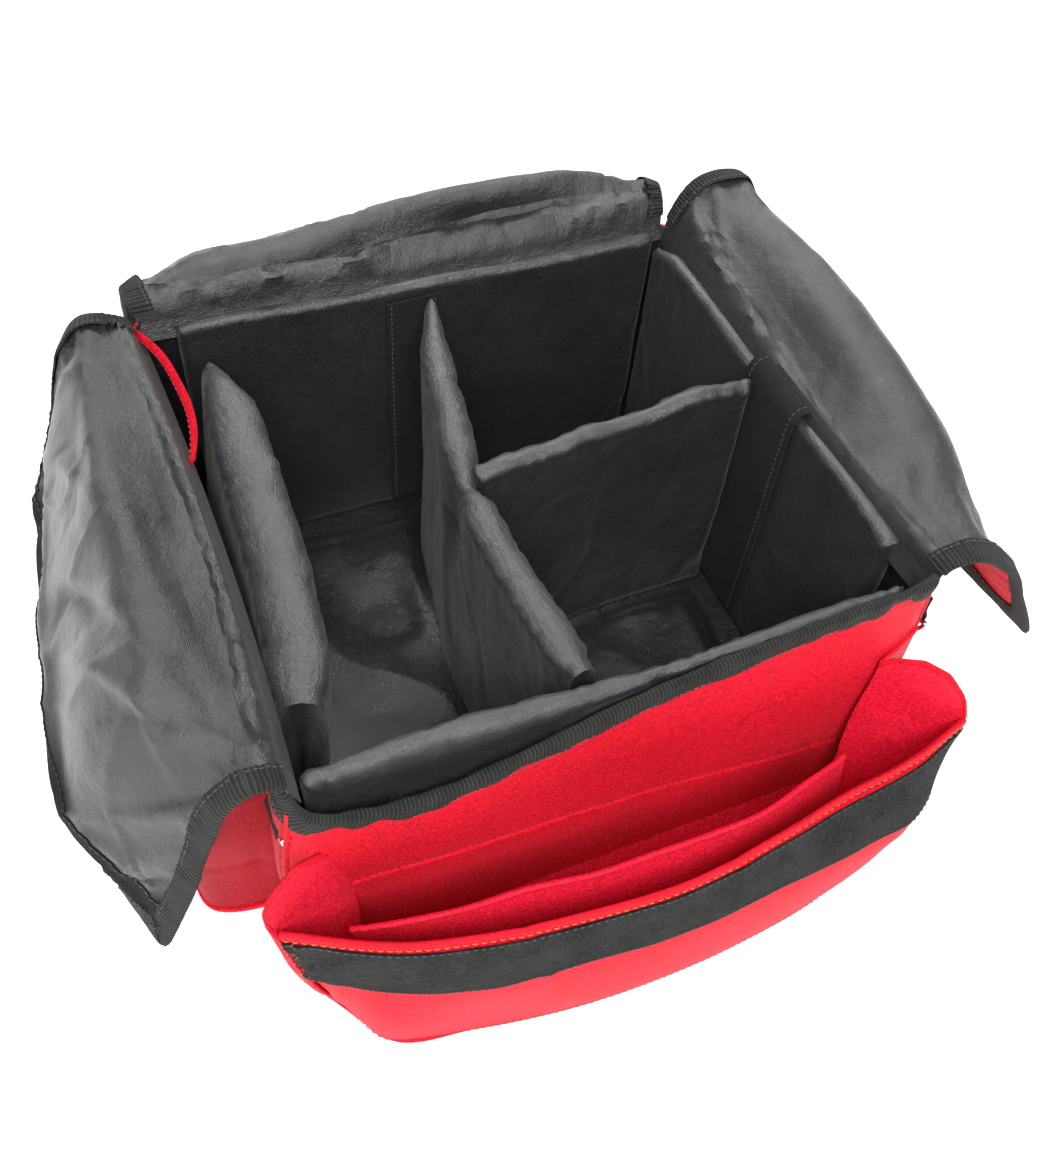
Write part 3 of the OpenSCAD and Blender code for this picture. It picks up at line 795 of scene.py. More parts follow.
def left_seam_facing():
    """The red facing that is turned in over the left rim near its back end."""
    top = resample([(-181, 168, 208), (-174, 156, 207), (-165.5, 138, 206), (-160.5, 110, 205.5),
                    (-159, 86, 205), (-161.5, 66, 204), (-167, 50, 201)], 70)
    foot = resample([(-180.5, 167, 203), (-175, 156, 201), (-168, 138, 200), (-163.5, 110, 199),
                     (-162.5, 86, 198.5), (-165, 66, 198), (-169, 50, 198)], 70)
    share = np.linspace(0, 1, 8)[None, :, None]
    grid = foot[:, None] * (1 - share) + top[:, None] * share
    grid[..., 0] -= 1.5 * np.sin(np.pi * share[..., 0])
    n = normals(grid)[:, 3]
    facing = Shape("left_seam_facing_strip")
    facing.slab(grid, -0.45, 0.45, RED)
    facing.stitches(grid[:, 3] + n * 0.5, n, RED_STITCH)
    return show_as(facing.make(), "bag", "red_cloth", "left_seam_facing")


shell_obj = bag_shell()
lining_obj = bag_lining()
front_rim_binding()
facing_obj = left_seam_facing()

# ---------------------------------------------------------------- padded insert and dividers


def run_cloth(obj, hold, frames, grow, pressure, bend, gravity):
    """Where the points of a mesh end up as Blender's cloth, in metres. hold is how firmly each one
    keeps its place, from 0 to 1, and grow is the share by which the cloth is larger than the mesh."""
    group = obj.vertex_groups.new(name="held")
    for i, w in enumerate(hold):
        group.add([i], float(w), "REPLACE")
    cloth = obj.modifiers.new("cloth", "CLOTH")
    c = cloth.settings
    c.quality = 6
    c.mass = 0.2
    c.tension_stiffness = c.compression_stiffness = 20
    c.shear_stiffness, c.bending_stiffness = 10, bend
    c.air_damping = 2.0
    c.use_pressure, c.uniform_pressure_force = pressure > 0, pressure
    c.vertex_group_mass = group.name
    c.pin_stiffness = 1.0
    c.shrink_min = -grow
    c.effector_weights.gravity = gravity
    scene.frame_start, scene.frame_end = 1, frames
    cloth.point_cache.frame_start, cloth.point_cache.frame_end = 1, frames
    for f in range(1, frames + 1):
        scene.frame_set(f)
    graph = bpy.context.evaluated_depsgraph_get()
    return np.array([v.co for v in obj.evaluated_get(graph).data.vertices])


def capped(step, limit):
    """The same moves, none of them longer than the limit."""
    size = np.linalg.norm(step, axis=-1, keepdims=True)
    return step * np.tanh(size / limit) * limit / np.maximum(size, 1e-9)


def drape(grid, hold, grow):
    """Lets Blender's cloth wrinkle a grid that holds a little more cloth than its outline."""
    nt, ns = grid.shape[:2]
    quads = [(i * ns + k, (i + 1) * ns + k, (i + 1) * ns + k + 1, i * ns + k + 1)
             for i in range(nt - 1) for k in range(ns - 1)]
    mesh = bpy.data.meshes.new("cloth_study")
    rest = grid.reshape(-1, 3)
    mesh.from_pydata((rest * MM).tolist(), [], quads)
    obj = bpy.data.objects.new("cloth_study", mesh)
    scene.collection.objects.link(obj)
    moved = run_cloth(obj, np.maximum(hold, 0.02).ravel(), 16, grow, 0.0, 0.3, 0.2) / MM
    bpy.data.objects.remove(obj)
    bpy.data.meshes.remove(mesh)
    scene.frame_set(1)
    step = capped(np.where(np.isfinite(moved), moved, rest) - rest, DRAPE_LIMIT)
    return grid + step.reshape(grid.shape)


def swell(obj, cap):
    """Swells a closed padded mesh with Blender's cloth, holding its foot. No point moves over cap."""
    rest = np.array([v.co for v in obj.data.vertices])
    hold = np.where(rest[:, 2] / MM < FLOOR_Z + 3, 1.0, 0.02)
    moved = run_cloth(obj, hold, 10, 0.012, 2.0, 3.0, 0.0)
    obj.modifiers.clear()
    obj.vertex_groups.clear()
    final = rest + capped(moved - rest, cap * MM)
    final = np.where(np.isfinite(final), final, rest)
    final[:, 2] = np.clip(final[:, 2], FLOOR_Z * MM, None)
    obj.data.vertices.foreach_set("co", final.astype(np.float32).ravel())
    obj.data.update()
    scene.frame_set(1)


def pillow(line, thick, top, puff, pucker, seed, round_end, cells, lean=None, pinch=None,
           round_top=0.5, lip=0.0, back_taper=0.0):
    """A padded panel: two faces that close round a soft edge at the top and both ends.
    line is its plan, thick its thickness, top a function of the share along it. With a lip,
    the front end is open and its edges turn in by that much."""
    line = plan_line(line, 200)[:, :2]
    length = along(line)[-1]
    share_u = (1 - np.cos(np.linspace(0, np.pi, cells[0]))) / 2
    share_u = 0.55 * share_u + 0.45 * np.linspace(0, 1, cells[0])
    share_v = np.sin(np.linspace(0, np.pi / 2, cells[1]))
    share_v = 0.5 * share_v + 0.5 * np.linspace(0, 1, cells[1])
    u, v = np.meshgrid(share_u, share_v, indexing="ij")
    place = np.abs(u * length - lip)
    base = read_at(place, along(line), line)
    run = read_at(u * length, along(line), unit(np.gradient(line, axis=0)))
    across = np.stack([-run[..., 1], run[..., 0]], -1)
    high = top(u)
    z = FLOOR_Z + (high - FLOOR_Z) * v
    from_top = (1 - v) * (high - FLOOR_Z)
    from_end = np.minimum(u, 1 - u) * length
    body_t = np.ones_like(u)
    if lip:
        from_end = (1 - u) * length
        mouth = 0.35 + 0.45 * bump(v, 0.86, 0.2)
        turned_in = np.sqrt(np.clip(u * length / lip, 0, 1))
        body_t = np.where(u * length < lip, mouth * turned_in, mouth + (1 - mouth) * smooth(place / 22))
    if back_taper:
        body_t = body_t * (0.4 + 0.6 * smooth((1 - u) * length / back_taper))
    for distance, radius in ((from_top, thick * round_top), (from_end, round_end)):
        t = np.clip(distance / radius, 0, 1)
        body_t = body_t * np.sqrt(np.clip(1 - (1 - t) ** 2, 0, 1))
    belly = 1 + 0.12 * puff * np.sin(np.pi * np.clip(v * 0.8 + 0.1, 0, 1)) * np.sin(np.pi * u)
    if pinch:
        belly = belly * (1 - pinch[2] * bump(u, pinch[0], pinch[1]) * smooth(v * 3 - 1.6))
    half = thick / 2 * body_t * belly
    # the cloth gathers along its top seam and its ends
    wave_place = np.stack([u * length, z, np.zeros_like(z)], -1)
    gather = np.exp(-from_top / 9) + 0.3 * np.exp(-from_end / 10)
    if pinch:
        gather = gather + 1.6 * bump(u, pinch[0], pinch[1] * 1.6) * np.exp(-from_top / 22)
    faces = []
    for sign in (-1, 1):
        p = np.concatenate([base + across * (half * sign)[..., None], z[..., None]], -1)
        ripple = waves(wave_place + sign * 400, seed, 8, (0.8, 2.4, 1)) * 0.45
        ripple += creases(wave_place - sign * 300, seed + 3, 34, (1, 1.8, 1), 0.12) * 0.9
        push = ripple * (0.14 + gather) * pucker * body_t
        push += waves(wave_place + sign * 90, seed + 7, 80) * 0.7 * puff * body_t
        push -= creases(wave_place + sign * 50, seed + 9, 70, (1, 1.4, 1), 0.14) * 0.7 * pucker * body_t
        p[..., :2] += across * (push * sign * 0.8)[..., None]
        p[..., 2] -= np.abs(push) * np.exp(-from_top / 8) * 0.9
        if lean is not None:
            p[..., :2] += lean(u, v)
        faces.append(p)
    seam = (faces[0] + faces[1]) / 2
    rim_cells = (from_top < 1e-6) | (np.minimum(u, 1 - u) * length < 1e-6)
    for p in faces:
        p[rim_cells] = seam[rim_cells]
    return faces, wave_place


def weld(shape):
    """Joins the two faces of a pillow where they meet."""
    obj = shape.make(70)
    b = bmesh.new()
    b.from_mesh(obj.data)
    bmesh.ops.remove_doubles(b, verts=b.verts, dist=0.02 * MM)
    bmesh.ops.recalc_face_normals(b, faces=b.faces)
    b.to_mesh(obj.data)
    b.free()
    obj.data.update()
    return obj


def pillow_object(name, *form, **settings):
    """One closed mesh of a pillow's two faces and its bottom, which stands on the lining."""
    faces, place = pillow(*form, **settings)
    shape = Shape(name)
    for index, p in enumerate(faces):
        nt, ns = p.shape[:2]
        quads, uvs = [], []
        for i in range(nt - 1):
            for k in range(ns - 1):
                quad = [i * ns + k, (i + 1) * ns + k, (i + 1) * ns + k + 1, i * ns + k + 1]
                uv = [tuple(place[a // ns, a % ns, :2] * MM) for a in quad]
                if index == 1:
                    quad, uv = quad[::-1], uv[::-1]
                quads.append(quad)
                uvs.append(uv)
        shape.add(p.reshape(-1, 3), quads, uvs, PAD_CLOTH)
    a, b = faces[0][:, 0], faces[1][:, 0]
    n = len(a)
    step = 0.004
    shape.add(np.concatenate([a, b]), [[i, n + i, n + i + 1, i + 1] for i in range(n - 1)],
              [[(0, i * step), (0.01, i * step), (0.01, (i + 1) * step), (0, (i + 1) * step)]
               for i in range(n - 1)], PAD_CLOTH)
    return weld(shape)


def pad(name, body_name, stem, cap, *form, **settings):
    """A foam-filled sleeve, which stands for its cover and its core."""
    obj = pillow_object(name, *form, **settings)
    swell(obj, cap)
    return show_as(obj, body_name, "black_lining", f"{stem}_cover", f"{stem}_foam")


pad("insert_left_panel", "bag", "insert_left", 2.4,
    [(-158, -114), (-152, -90), (-145, -40), (-140, 20), (-138, 90), (-141, 147)], 31,
    lambda u: 195 - 4 * bump(u, 0.35, 0.3) + 1.5 * np.sin(u * 9) - 7 * smooth((u - 0.9) * 10),
    puff=0.8, pucker=1.6, seed=51, round_end=8, round_top=0.26, lip=11, back_taper=60, cells=(110, 60),
    lean=lambda u, v: np.stack([-18 * (1 - v) ** 1.1 * (1 - 0.45 * smooth(1 - u * 4)), 0 * v], -1))
pad("insert_back_panel", "bag", "insert_back", 1.3,
    [(-152, 157), (-60, 156.5), (20, 156.2), (100, 156), (164, 155.6)], 10.5,
    lambda u: 203.5 - 6 * smooth(u / 0.7) + 1.0 * np.sin(u * 15),
    puff=0.7, pucker=1.1, seed=52, round_end=6, cells=(80, 44))
pad("insert_right_panel", "bag", "insert_right", 1.3,
    [(168, 151), (170.5, 60), (171, -30), (171.5, -131)], 10.5,
    lambda u: 198.5 + 1.8 * np.sin(u * 9) - 2.5 * bump(u, 0.25, 0.2) - 9 * bump(u, 0, 0.06),
    puff=0.7, pucker=1.2, seed=53, round_end=6, cells=(76, 44))
pad("insert_front_panel", "bag", "insert_front", 1.3,
    [(-168, -155), (-60, -155), (60, -155.5), (161, -155.5)], 9.5,
    lambda u: 191 + 2 * np.sin(u * 8),
    puff=0.8, pucker=1.5, seed=54, round_end=6, cells=(96, 48),
    lean=lambda u, v: np.stack([0 * v, 5.0 * bump(u, 0.15, 0.25) * v**3], -1))
pad("long_divider_sleeve", "long_divider", "long_divider", 1.6,
    [(-20, -143), (-25, -100), (-28, -50), (-26, 5), (-19, 45), (-9, 95), (4, 146)], 21,
    lambda u: 190 - 8 * bump(u, 0.51, 0.035) + 7 * bump(u, 1.0, 0.12) + 1.2 * np.sin(u * 13),
    puff=0.9, pucker=1.5, seed=55, round_end=7, round_top=0.34, lip=7, back_taper=50,
    cells=(110, 48), pinch=(0.51, 0.06, 0.5))
pad("cross_divider_sleeve", "cross_divider", "cross_divider", 1.4,
    [(-20.5, 6), (30, 9), (65, 12.5), (100, 13.5), (161.6, 12.8)], 14,
    lambda u: 188 - 3 * bump(u, 0.02, 0.05) + 6 * smooth(u * 3 - 1.6) + 1.2 * np.sin(u * 17 + 1),
    puff=0.9, pucker=1.5, seed=56, round_end=6, cells=(72, 46))


def hook_strip(name, grid, n, body_name, node, seed):
    """A strip of hook tape, stitched along both edges on both faces."""
    shape = Shape(name)
    shape.slab(grid, -0.6, 0.6, HOOK_TAPE)
    for column in (2, -3):
        for side in (1, -1):
            shape.stitches(grid[column] + n[column] * 0.62 * side, n[column] * side, DARK_STITCH,
                           2.8, 1.4, 0.3, seed)
    return show_as(shape.make(), body_name, "hook_loop_tape", node)


def hook_tab(name, plan, z_low, z_high, node, seed):
    """A long divider's strip of hook tape, which stands against a panel."""
    line = plan_line(plan, 26)
    z = np.linspace(z_low, z_high, 46)
    grid = np.repeat(line[:, None], len(z), 1)
    grid[..., 2] = z[None]
    n = normals(grid)
    grid = grid + n * (waves(grid, seed, 40) * 0.25)[..., None]
    return hook_strip(name, grid, n, "long_divider", node, seed)


def cross_divider_tape():
    """The cross divider's hook tape, which goes up the right panel and over its top."""
    path = resample([(164.6, 0, 10), (164.6, 0, 100), (164.6, 0, 188), (165.0, 0, 199),
                     (168, 0, 203.5), (173, 0, 204.5), (176.5, 0, 203)], 60)
    across = np.linspace(21, -33, 26)[:, None, None] * [0, 1.0, 0]
    grid = across + path[None]
    grid[..., 0] += waves(grid, 63, 40) * 0.2
    return hook_strip("cross_divider_tape", grid, normals(grid), "cross_divider", "cross_divider_tab", 63)


hook_tab("long_divider_back_tape", [(-24, 148.6), (2, 148.6), (11, 148.4)], 10, 193,
         "long_divider_tab_back", 61)
hook_tab("long_divider_front_tape", [(-31, -150.6), (-10, -150.8), (11, -150.6)], 10, 152,
         "long_divider_tab_front", 62)
cross_divider_tape()

# ---------------------------------------------------------------- flaps and lid

# Each row of control points runs from inside the wall's top, over the hinge and the ridge, to the
# free edge. The rows stand side by side along the hinge.
LEFT_NET = [
    [(-176.5, -163, 202), (-179, -164, 211), (-190, -165, 217), (-204, -165, 208), (-215, -165, 184),
     (-227, -166, 150), (-238, -167, 124), (-249, -168, 101)],
    [(-173, -98, 202), (-176, -98, 211), (-194, -98, 220), (-218, -99, 233), (-241, -101, 211),
     (-262, -104, 176), (-271, -107, 143), (-265, -108, 108)],
    [(-171.5, -18, 202), (-174, -18, 211), (-193, -18, 221), (-219, -18, 235), (-241, -18, 211),
     (-259, -18, 176), (-267, -18, 144), (-262, -18, 108)],
    [(-172.5, 62, 202), (-175, 62, 211), (-192, 62, 222), (-215, 62, 232), (-236, 63, 209),
     (-250, 66, 177), (-257, 72, 148), (-259, 77, 118)],
    [(-174.5, 118, 202), (-177, 118, 211), (-191, 118, 223), (-210, 119, 228), (-228, 120, 210),
     (-240, 120, 182), (-248, 117, 156), (-251, 114, 132)],
    [(-176.5, 161, 202), (-179, 161, 211), (-189, 161, 218), (-201, 161, 220), (-210, 160, 213),
     (-217, 159, 202), (-223, 157, 188), (-227, 155, 173)],
]
RIGHT_NET = [
    [(176.5, -162, 197), (179, -162, 206), (190, -163, 211), (205, -164, 207), (224, -165, 192),
     (250, -167, 154), (273, -168, 113)],
    [(173, -82, 197), (176, -82, 205), (190, -82, 218), (207, -82, 229), (225, -82, 229),
     (248, -84, 181), (264, -86, 114)],
    [(172, 0, 197), (175, 0, 205), (189, 0, 220), (206, 0, 237), (225, 0, 240), (248, 0, 186),
     (263, 0, 114)],
    [(173, 84, 197), (176, 84, 205), (190, 84, 221), (206, 84, 237), (224, 84, 241), (247, 84, 188),
     (261, 84, 114)],
    [(176.5, 159.5, 197), (179, 159.5, 206), (186, 160, 221), (199, 160, 232), (220, 160, 232),
     (244, 159, 186), (259, 157, 116)],
]
LID_NET = [
    [(-173, 162, 205), (-174, 165, 214), (-175, 175, 217), (-176, 187, 213), (-176, 201, 196),
     (-176, 232, 146), (-175, 268, 92), (-174, 302, 44), (-173, 330, 8)],
    [(-140, 162, 204), (-140, 165, 214), (-140, 176, 223), (-140, 189, 230), (-140, 203, 224),
     (-140, 232, 174), (-140, 268, 106), (-140, 302, 50), (-140, 330, 8)],
    [(-60, 162, 202), (-60, 165, 211), (-60, 176, 221), (-60, 190, 232), (-60, 204, 224),
     (-60, 234, 176), (-60, 269, 108), (-60, 303, 50), (-60, 331, 8)],
    [(10, 162, 199), (10, 165, 208), (10, 177, 223), (10, 191, 239), (10, 205, 231),
     (10, 235, 180), (10, 270, 110), (10, 303, 50), (10, 331, 8)],
    [(80, 162, 199), (80, 165, 208), (80, 177, 224), (80, 191, 241), (80, 205, 233),
     (80, 235, 181), (80, 270, 110), (80, 303, 50), (80, 331, 8)],
    [(140, 162, 199), (140, 165, 208), (141, 176, 220), (141, 190, 231), (141, 204, 223),
     (141, 234, 176), (141, 269, 108), (140, 303, 50), (140, 330, 8)],
    [(174, 162, 199), (175, 165, 206), (178, 176, 212), (181, 188, 211), (180, 201, 196),
     (178, 232, 148), (176, 268, 94), (174, 302, 45), (173, 329, 8)],
]


def fold(t, s, path, height, width):
    """A soft fold along a path of (t, s) marks, both in mm along the cloth."""
    path = plan_line(path, 60)[:, :2]
    spot = np.stack([t, s], -1).reshape(-1, 2)
    d = np.full(len(spot), 1e9)
    where = np.zeros(len(spot))
    for i, p in enumerate(path):
        dist = np.hypot(*(spot - p).T)
        nearer = dist < d
        d[nearer], where[nearer] = dist[nearer], i / 59
    fade = np.sin(np.pi * np.clip(0.08 + 0.84 * where, 0, 1))
    return (height * np.exp(-((d / width) ** 2)) * fade).reshape(t.shape)


class Flap:
    """A two-layer flap in two stretches, which meet half way along its short stretch."""

    def inside(self, point):
        """Where the lining starts, below the rim on the inner face of the wall."""
        x, y, z = point
        if self.name == "lid":
            return x, y - 4.5, z - 9
        return x - np.sign(x) * 4.5, y, z - 12

    def __init__(self, name, rows, count_t, count_s, up, seed, folds, soft, grow, base_len, long_len):
        self.name, self.seed = name, seed
        root = 13 if name != "lid" else 10
        rows = [[self.inside(r[0]), *r] for r in rows]
        grid = net(rows, count_t, count_s)
        sign = np.sign((normals(grid)[:, count_s // 4] @ np.asarray(up, float)).mean())
        self.flip = sign < 0
        s = along(grid[count_t // 2])
        t = along(grid[:, count_s // 2])
        tt, ss = np.meshgrid(t, s, indexing="ij")
        lift = sum((fold(tt, ss - root, *f) for f in folds), np.zeros_like(tt))
        rim = smooth(np.minimum(np.minimum(tt, t[-1] - tt), s[-1] - ss) / 16)
        free = smooth((ss - root - 6) / 22)
        lift += soft * free * (
            waves(grid, seed, 90) * 1.9 + waves(grid, seed + 1, 38) * 0.75
            + creases(grid, seed + 2, 85, sharp=0.11) * 1.7 - creases(grid, seed + 3, 70, sharp=0.1) * 1.3
        ) * (0.3 + 0.7 * rim)
        n = normals(grid) * sign
        grid = grid + n * lift[..., None]
        hold = 0.85 * smooth((12 - np.minimum(tt, t[-1] - tt)) / 8)
        hold = np.maximum(smooth((root + 14 - ss) / 6), hold)
        hold = np.maximum(hold, 0.75 * smooth((14 - (s[-1] - ss)) / 8))
        grid = drape(grid, hold, grow)
        self.grid, self.n = grid, normals(grid) * sign
        self.s, self.t = s, t
        self.root = root
        self.start = int(np.argmin(np.abs(s - (root + 6))))
        self.cut = int(np.argmin(np.abs(s - (root + 11 + base_len * 0.5))))
        self.base_len, self.long_len = base_len, long_len

    def layers(self, part):
        """The black and the red layer of one stretch."""
        c = self.cut
        grid = self.grid[:, : c + 1] if part == "base" else self.grid[:, c:]
        lining, red = Shape(f"{self.name}_{part}_lining_cloth"), Shape(f"{self.name}_{part}_red_cloth")
        lining.slab(grid, 0.0, 0.8, FLAP_LINING, flip=self.flip)
        red.slab(grid[:, self.start :] if part == "base" else grid, -1.0, -0.05, RED, flip=self.flip)
        return lining.make(), red.make()

    def edge_frames(self, index, inward_sign, start, stop):
        """Edge line, inward direction and normal along one end of the flap."""
        line = self.grid[index, start:stop]
        inward = self.grid[index + inward_sign, start:stop] - line
        n = self.n[index, start:stop]
        return line, unit(square_to(inward, n)), n

    def binding(self, part, width=12.0):
        """Binding tape round the open edges of one stretch."""
        shape = Shape(f"{self.name}_{part}_edge_tape")
        c = self.cut
        if part == "base":
            # the tape starts at the rim, and runs to the middle of the short stretch
            for index, step in ((0, 1), (-1, -1)):
                line, inward, n = self.edge_frames(index, step, self.start, c + 1)
                bind(shape, *dense(line, inward, n, 34), width, 2.3, self.seed + index, 0.7)
        else:
            a = self.edge_frames(0, 1, c, None)
            b = self.edge_frames(-1, -1, c, None)
            free = self.grid[:, -1]
            free_n = self.n[:, -1]
            inward = unit(square_to(self.grid[:, -2] - free, free_n))
            lines = [np.concatenate([a[k][:-1], f[1:-1], b[k][-2::-1]])
                     for k, f in enumerate((free, inward, free_n))]
            line, inward, n = dense(*lines, 520)
            # turn the corners softly
            for _ in range(6):
                for x in (line, inward, n):
                    x[1:-1] = (x[:-2] + x[1:-1] * 2 + x[2:]) / 4
            bind(shape, line, unit(inward), unit(n), width, 2.3, self.seed + 4, 0.8)
        return shape.make()

    def tape(self, name, offset, width, out, material, side=1):
        """A strip of tape along the free edge, in from the binding."""
        s_mid = self.s[-1] - offset
        across = s_mid - width / 2 + width * np.linspace(0, 1, 7)
        grid = np.stack([read_at(across, self.s, row) for row in self.grid[3:-3]])
        shape = Shape(name)
        n = normals(grid) * (-1 if self.flip else 1)
        grid = grid + n * (waves(grid, self.seed + 9, 30) * 0.2)[..., None]
        low, high = (0.82, 0.82 + out) if side > 0 else (-1.02 - out, -1.02)
        shape.slab(grid, low, high, material, flip=self.flip)
        for column in (0, -1):
            face = grid[:, column] * 0.93 + grid[:, 3] * 0.07
            level = high + 0.05 if side > 0 else low - 0.05
            shape.stitches(face + n[:, column] * level, n[:, column] * side, DARK_STITCH, 2.8, 1.4,
                           0.28, self.seed)
        return shape.make()


def dense(line, inward, n, count):
    """The same edge in more steps."""
    s = along(line)
    want = np.linspace(0, s[-1], count)
    line, inward, n = (cubic(s, a, want) for a in (line, inward, n))
    return line, unit(inward), unit(n)


LEFT_FOLDS = [
    ([(20, 20), (30, 38), (42, 60), (50, 78)], 5.0, 6),
    ([(60, 30), (105, 44), (150, 52), (205, 60), (260, 62)], 4.5, 8),
    ([(50, 62), (85, 80), (120, 108), (150, 140)], 4.0, 6),
    ([(95, 62), (130, 86), (165, 112), (185, 150)], -4.5, 7),
    ([(150, 30), (190, 24), (240, 20)], -4.0, 8),
    ([(200, 70), (235, 88), (262, 110), (285, 140)], 4.0, 7),
    ([(140, 96), (160, 108), (180, 128), (172, 150)], -4.5, 4.5),
    ([(280, 30), (300, 60), (305, 110)], 3.5, 7),
    ([(20, 90), (60, 78), (90, 50)], 3.0, 6),
]
RIGHT_FOLDS = [
    ([(40, 20), (75, 35), (92, 62)], -4.0, 9),
    ([(92, 62), (100, 40), (108, 18)], 3.0, 8),
    ([(285, 20), (292, 45), (296, 68)], -4.5, 8),
    ([(120, 50), (180, 56), (240, 52)], 2.0, 14),
    ([(150, 30), (220, 34)], -2.0, 12),
]
LID_FOLDS = [
    ([(25, 16), (90, 19), (170, 20), (180, 23), (260, 20), (330, 18)], 4.5, 5),
    ([(15, 27), (90, 29), (180, 33), (260, 31), (330, 28)], -5.5, 7),
    ([(50, 44), (110, 40), (170, 48), (240, 42), (310, 38)], 3.5, 8),
    ([(60, 14), (80, 22), (95, 34)], 3.5, 6),
    ([(150, 14), (165, 24), (175, 36)], 4.0, 6),
    ([(215, 14), (232, 22), (240, 32)], 2.5, 6),
    ([(262, 16), (275, 22), (290, 30)], 2.5, 6),
    ([(200, 46), (250, 40), (300, 46)], 3.0, 7),
]
left_flap = Flap("left_flap", LEFT_NET, 100, 68, (-0.3, 0, 1), 71, LEFT_FOLDS, 0.7, 0.03, 52, 132)
right_flap = Flap("right_flap", RIGHT_NET, 100, 68, (0.3, 0, 1), 72, RIGHT_FOLDS, 0.35, 0.012, 52, 132)
lid = Flap("lid", LID_NET, 104, 92, (0, -0.3, 1), 73, LID_FOLDS, 0.7, 0.03, 40, 272)


def hang(flap, part, *objects):
    """Bakes the placing of each piece into its mesh, for the near and the far pieces alike."""
    for obj in objects:
        if part == "base":
            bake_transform(obj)
        else:
            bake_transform(obj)


for flap, wide in ((left_flap, 322), (right_flap, 322), (lid, 348)):
    name = flap.name
    for part in ("base", "outer"):
        black, red = flap.layers(part)
        tape = flap.binding(part)
        body_part = "base_" if part == "base" else ""
        hang(flap, part, black, red, tape)
        stand_for(black, "black_lining", f"{name}_{body_part}lining")
        stand_for(red, "red_cloth", f"{name}_{body_part}shell")
        stand_for(tape, "binding_tape", f"{name}_{body_part}binding")
        sheet(black)
        sheet(red)
show_as(left_flap.tape("left_flap_hook_strip", 24, 20, 1.2, HOOK_TAPE),
        "left_flap_outer", "hook_loop_tape", "left_flap_hook_tape")
show_as(right_flap.tape("right_flap_loop_strip", 24, 20, 1.2, LOOP_TAPE, side=-1),
        "right_flap_outer", "hook_loop_tape", "right_flap_loop_tape")
show_as(lid.tape("lid_hook_strip", 24, 20, 1.2, HOOK_TAPE),
        "lid_outer", "hook_loop_tape", "lid_hook_tape")

# ---------------------------------------------------------------- front pocket

# stations from left to right; each runs from the foot to the hem
POCKET_NET = [
    [(-166, -206, 1.5), (-176, -205, 40), (-188, -201, 82), (-197, -193, 124)],
    [(-156, -221, 1.5), (-160, -223, 40), (-163, -219, 82), (-160, -213, 124)],
    [(-105, -235, 1.5), (-106, -239, 40), (-107, -240, 82), (-108, -229, 123)],
    [(-50, -244, 1.5), (-50, -246, 40), (-50, -244, 82), (-50, -237, 122)],
    [(10, -247, 1.5), (10, -249, 40), (10, -248, 82), (8, -240, 121)],
    [(60, -245, 1.5), (60, -248, 40), (60, -246, 82), (60, -234, 121)],
    [(118, -237, 1.5), (117, -242, 40), (116, -243, 82), (110, -226, 122)],
    [(150, -226, 1.5), (153, -234, 40), (158, -237, 82), (155, -221, 123)],
    [(166, -212, 1.5), (177, -214, 40), (190, -212, 82), (193, -211, 124)],
]
FOOT = [row[0] for row in POCKET_NET]


def pocket_panel_grid(count_u, count_v, high=1.0):
    """The pocket's front up to a share of its height, its normals and which way they point."""
    grid = net(POCKET_NET, count_u, 61)
    v = np.linspace(0, high, count_v)
    grid = np.stack([cubic(np.linspace(0, 1, 61), g, v) for g in grid])
    ripple = waves(grid, 81, 110) * 1.3 + creases(grid, 82, 100, (1, 1, 1.6)) * 1.3
    ripple = ripple * smooth(v * 6)[None] * (1 - 0.6 * smooth((v - 0.6) * 5))[None]
    n = normals(grid)
    sign = -np.sign(n[count_u // 2, count_v // 2, 1])
    n = n * sign
    return grid + n * ripple[..., None], n, sign


HEM_RING = [(-1.6, -6.0), (-1.9, -2.0), (-1.6, 0.2), (-0.8, 1.0), (0.4, 1.0), (1.2, 0.3), (1.6, -2.0),
            (1.4, -6.0), (0.5, -6.4), (-0.8, -6.4)]
LOOP_ROWS = slice(39, 57)       # rows of a grid of 60 that the loop tape covers
SLOTS = (-118, -96, -10, 62, 78, 96)


def pocket_front_panel():
    """The red front of the pocket, stitched along its foot."""
    grid, n, sign = pocket_panel_grid(120, 44, 0.965)
    shape = Shape("pocket_front_panel")
    shape.slab(grid, -1.6, 0.0, RED, flip=sign < 0)
    shape.stitches(grid[:, 1] + n[:, 1] * 0.3, n[:, 1], RED_STITCH, 2.8, 1.4, 0.28, 5)
    return fold_pocket(shape.make(), "red_cloth", "pocket_panel")


def pocket_top_hem():
    """The folded hem along the pocket's top edge, with its orange stitches."""
    grid, n, _ = pocket_panel_grid(160, 44)
    line, out = grid[:, -1], n[:, -1]
    shape = Shape("pocket_top_hem")
    shape.tube(line - out * 0.8, out, np.tile(UP, (160, 1)), HEM_RING, RED)
    shape.stitches(line + out * 0.95 - UP * 4.4, out, ORANGE_STITCH, 3.0, 1.6, 0.34, 6)
    fold_pocket(shape.make(), "red_cloth", "pocket_hem")


def loose_ends(shape, band):
    """Loose ends of orange thread where the loop tape was cut."""
    rng = np.random.default_rng(85)
    for _ in range(26):
        p = band[rng.integers(0, 3), rng.integers(0, band.shape[1])] + np.array([0, 0, rng.uniform(-1, 1)])
        tip = p + rng.normal(size=3) * [2.2, 1.0, 1.2] + [-2.4, -1.2, 0]
        shape.stitches(np.linspace(p, tip, 4), np.tile([0, -1.0, 0.2], (4, 1)), ORANGE_STITCH,
                       float(np.linalg.norm(tip - p)) * 0.8, 0.05, 0.17, 8)


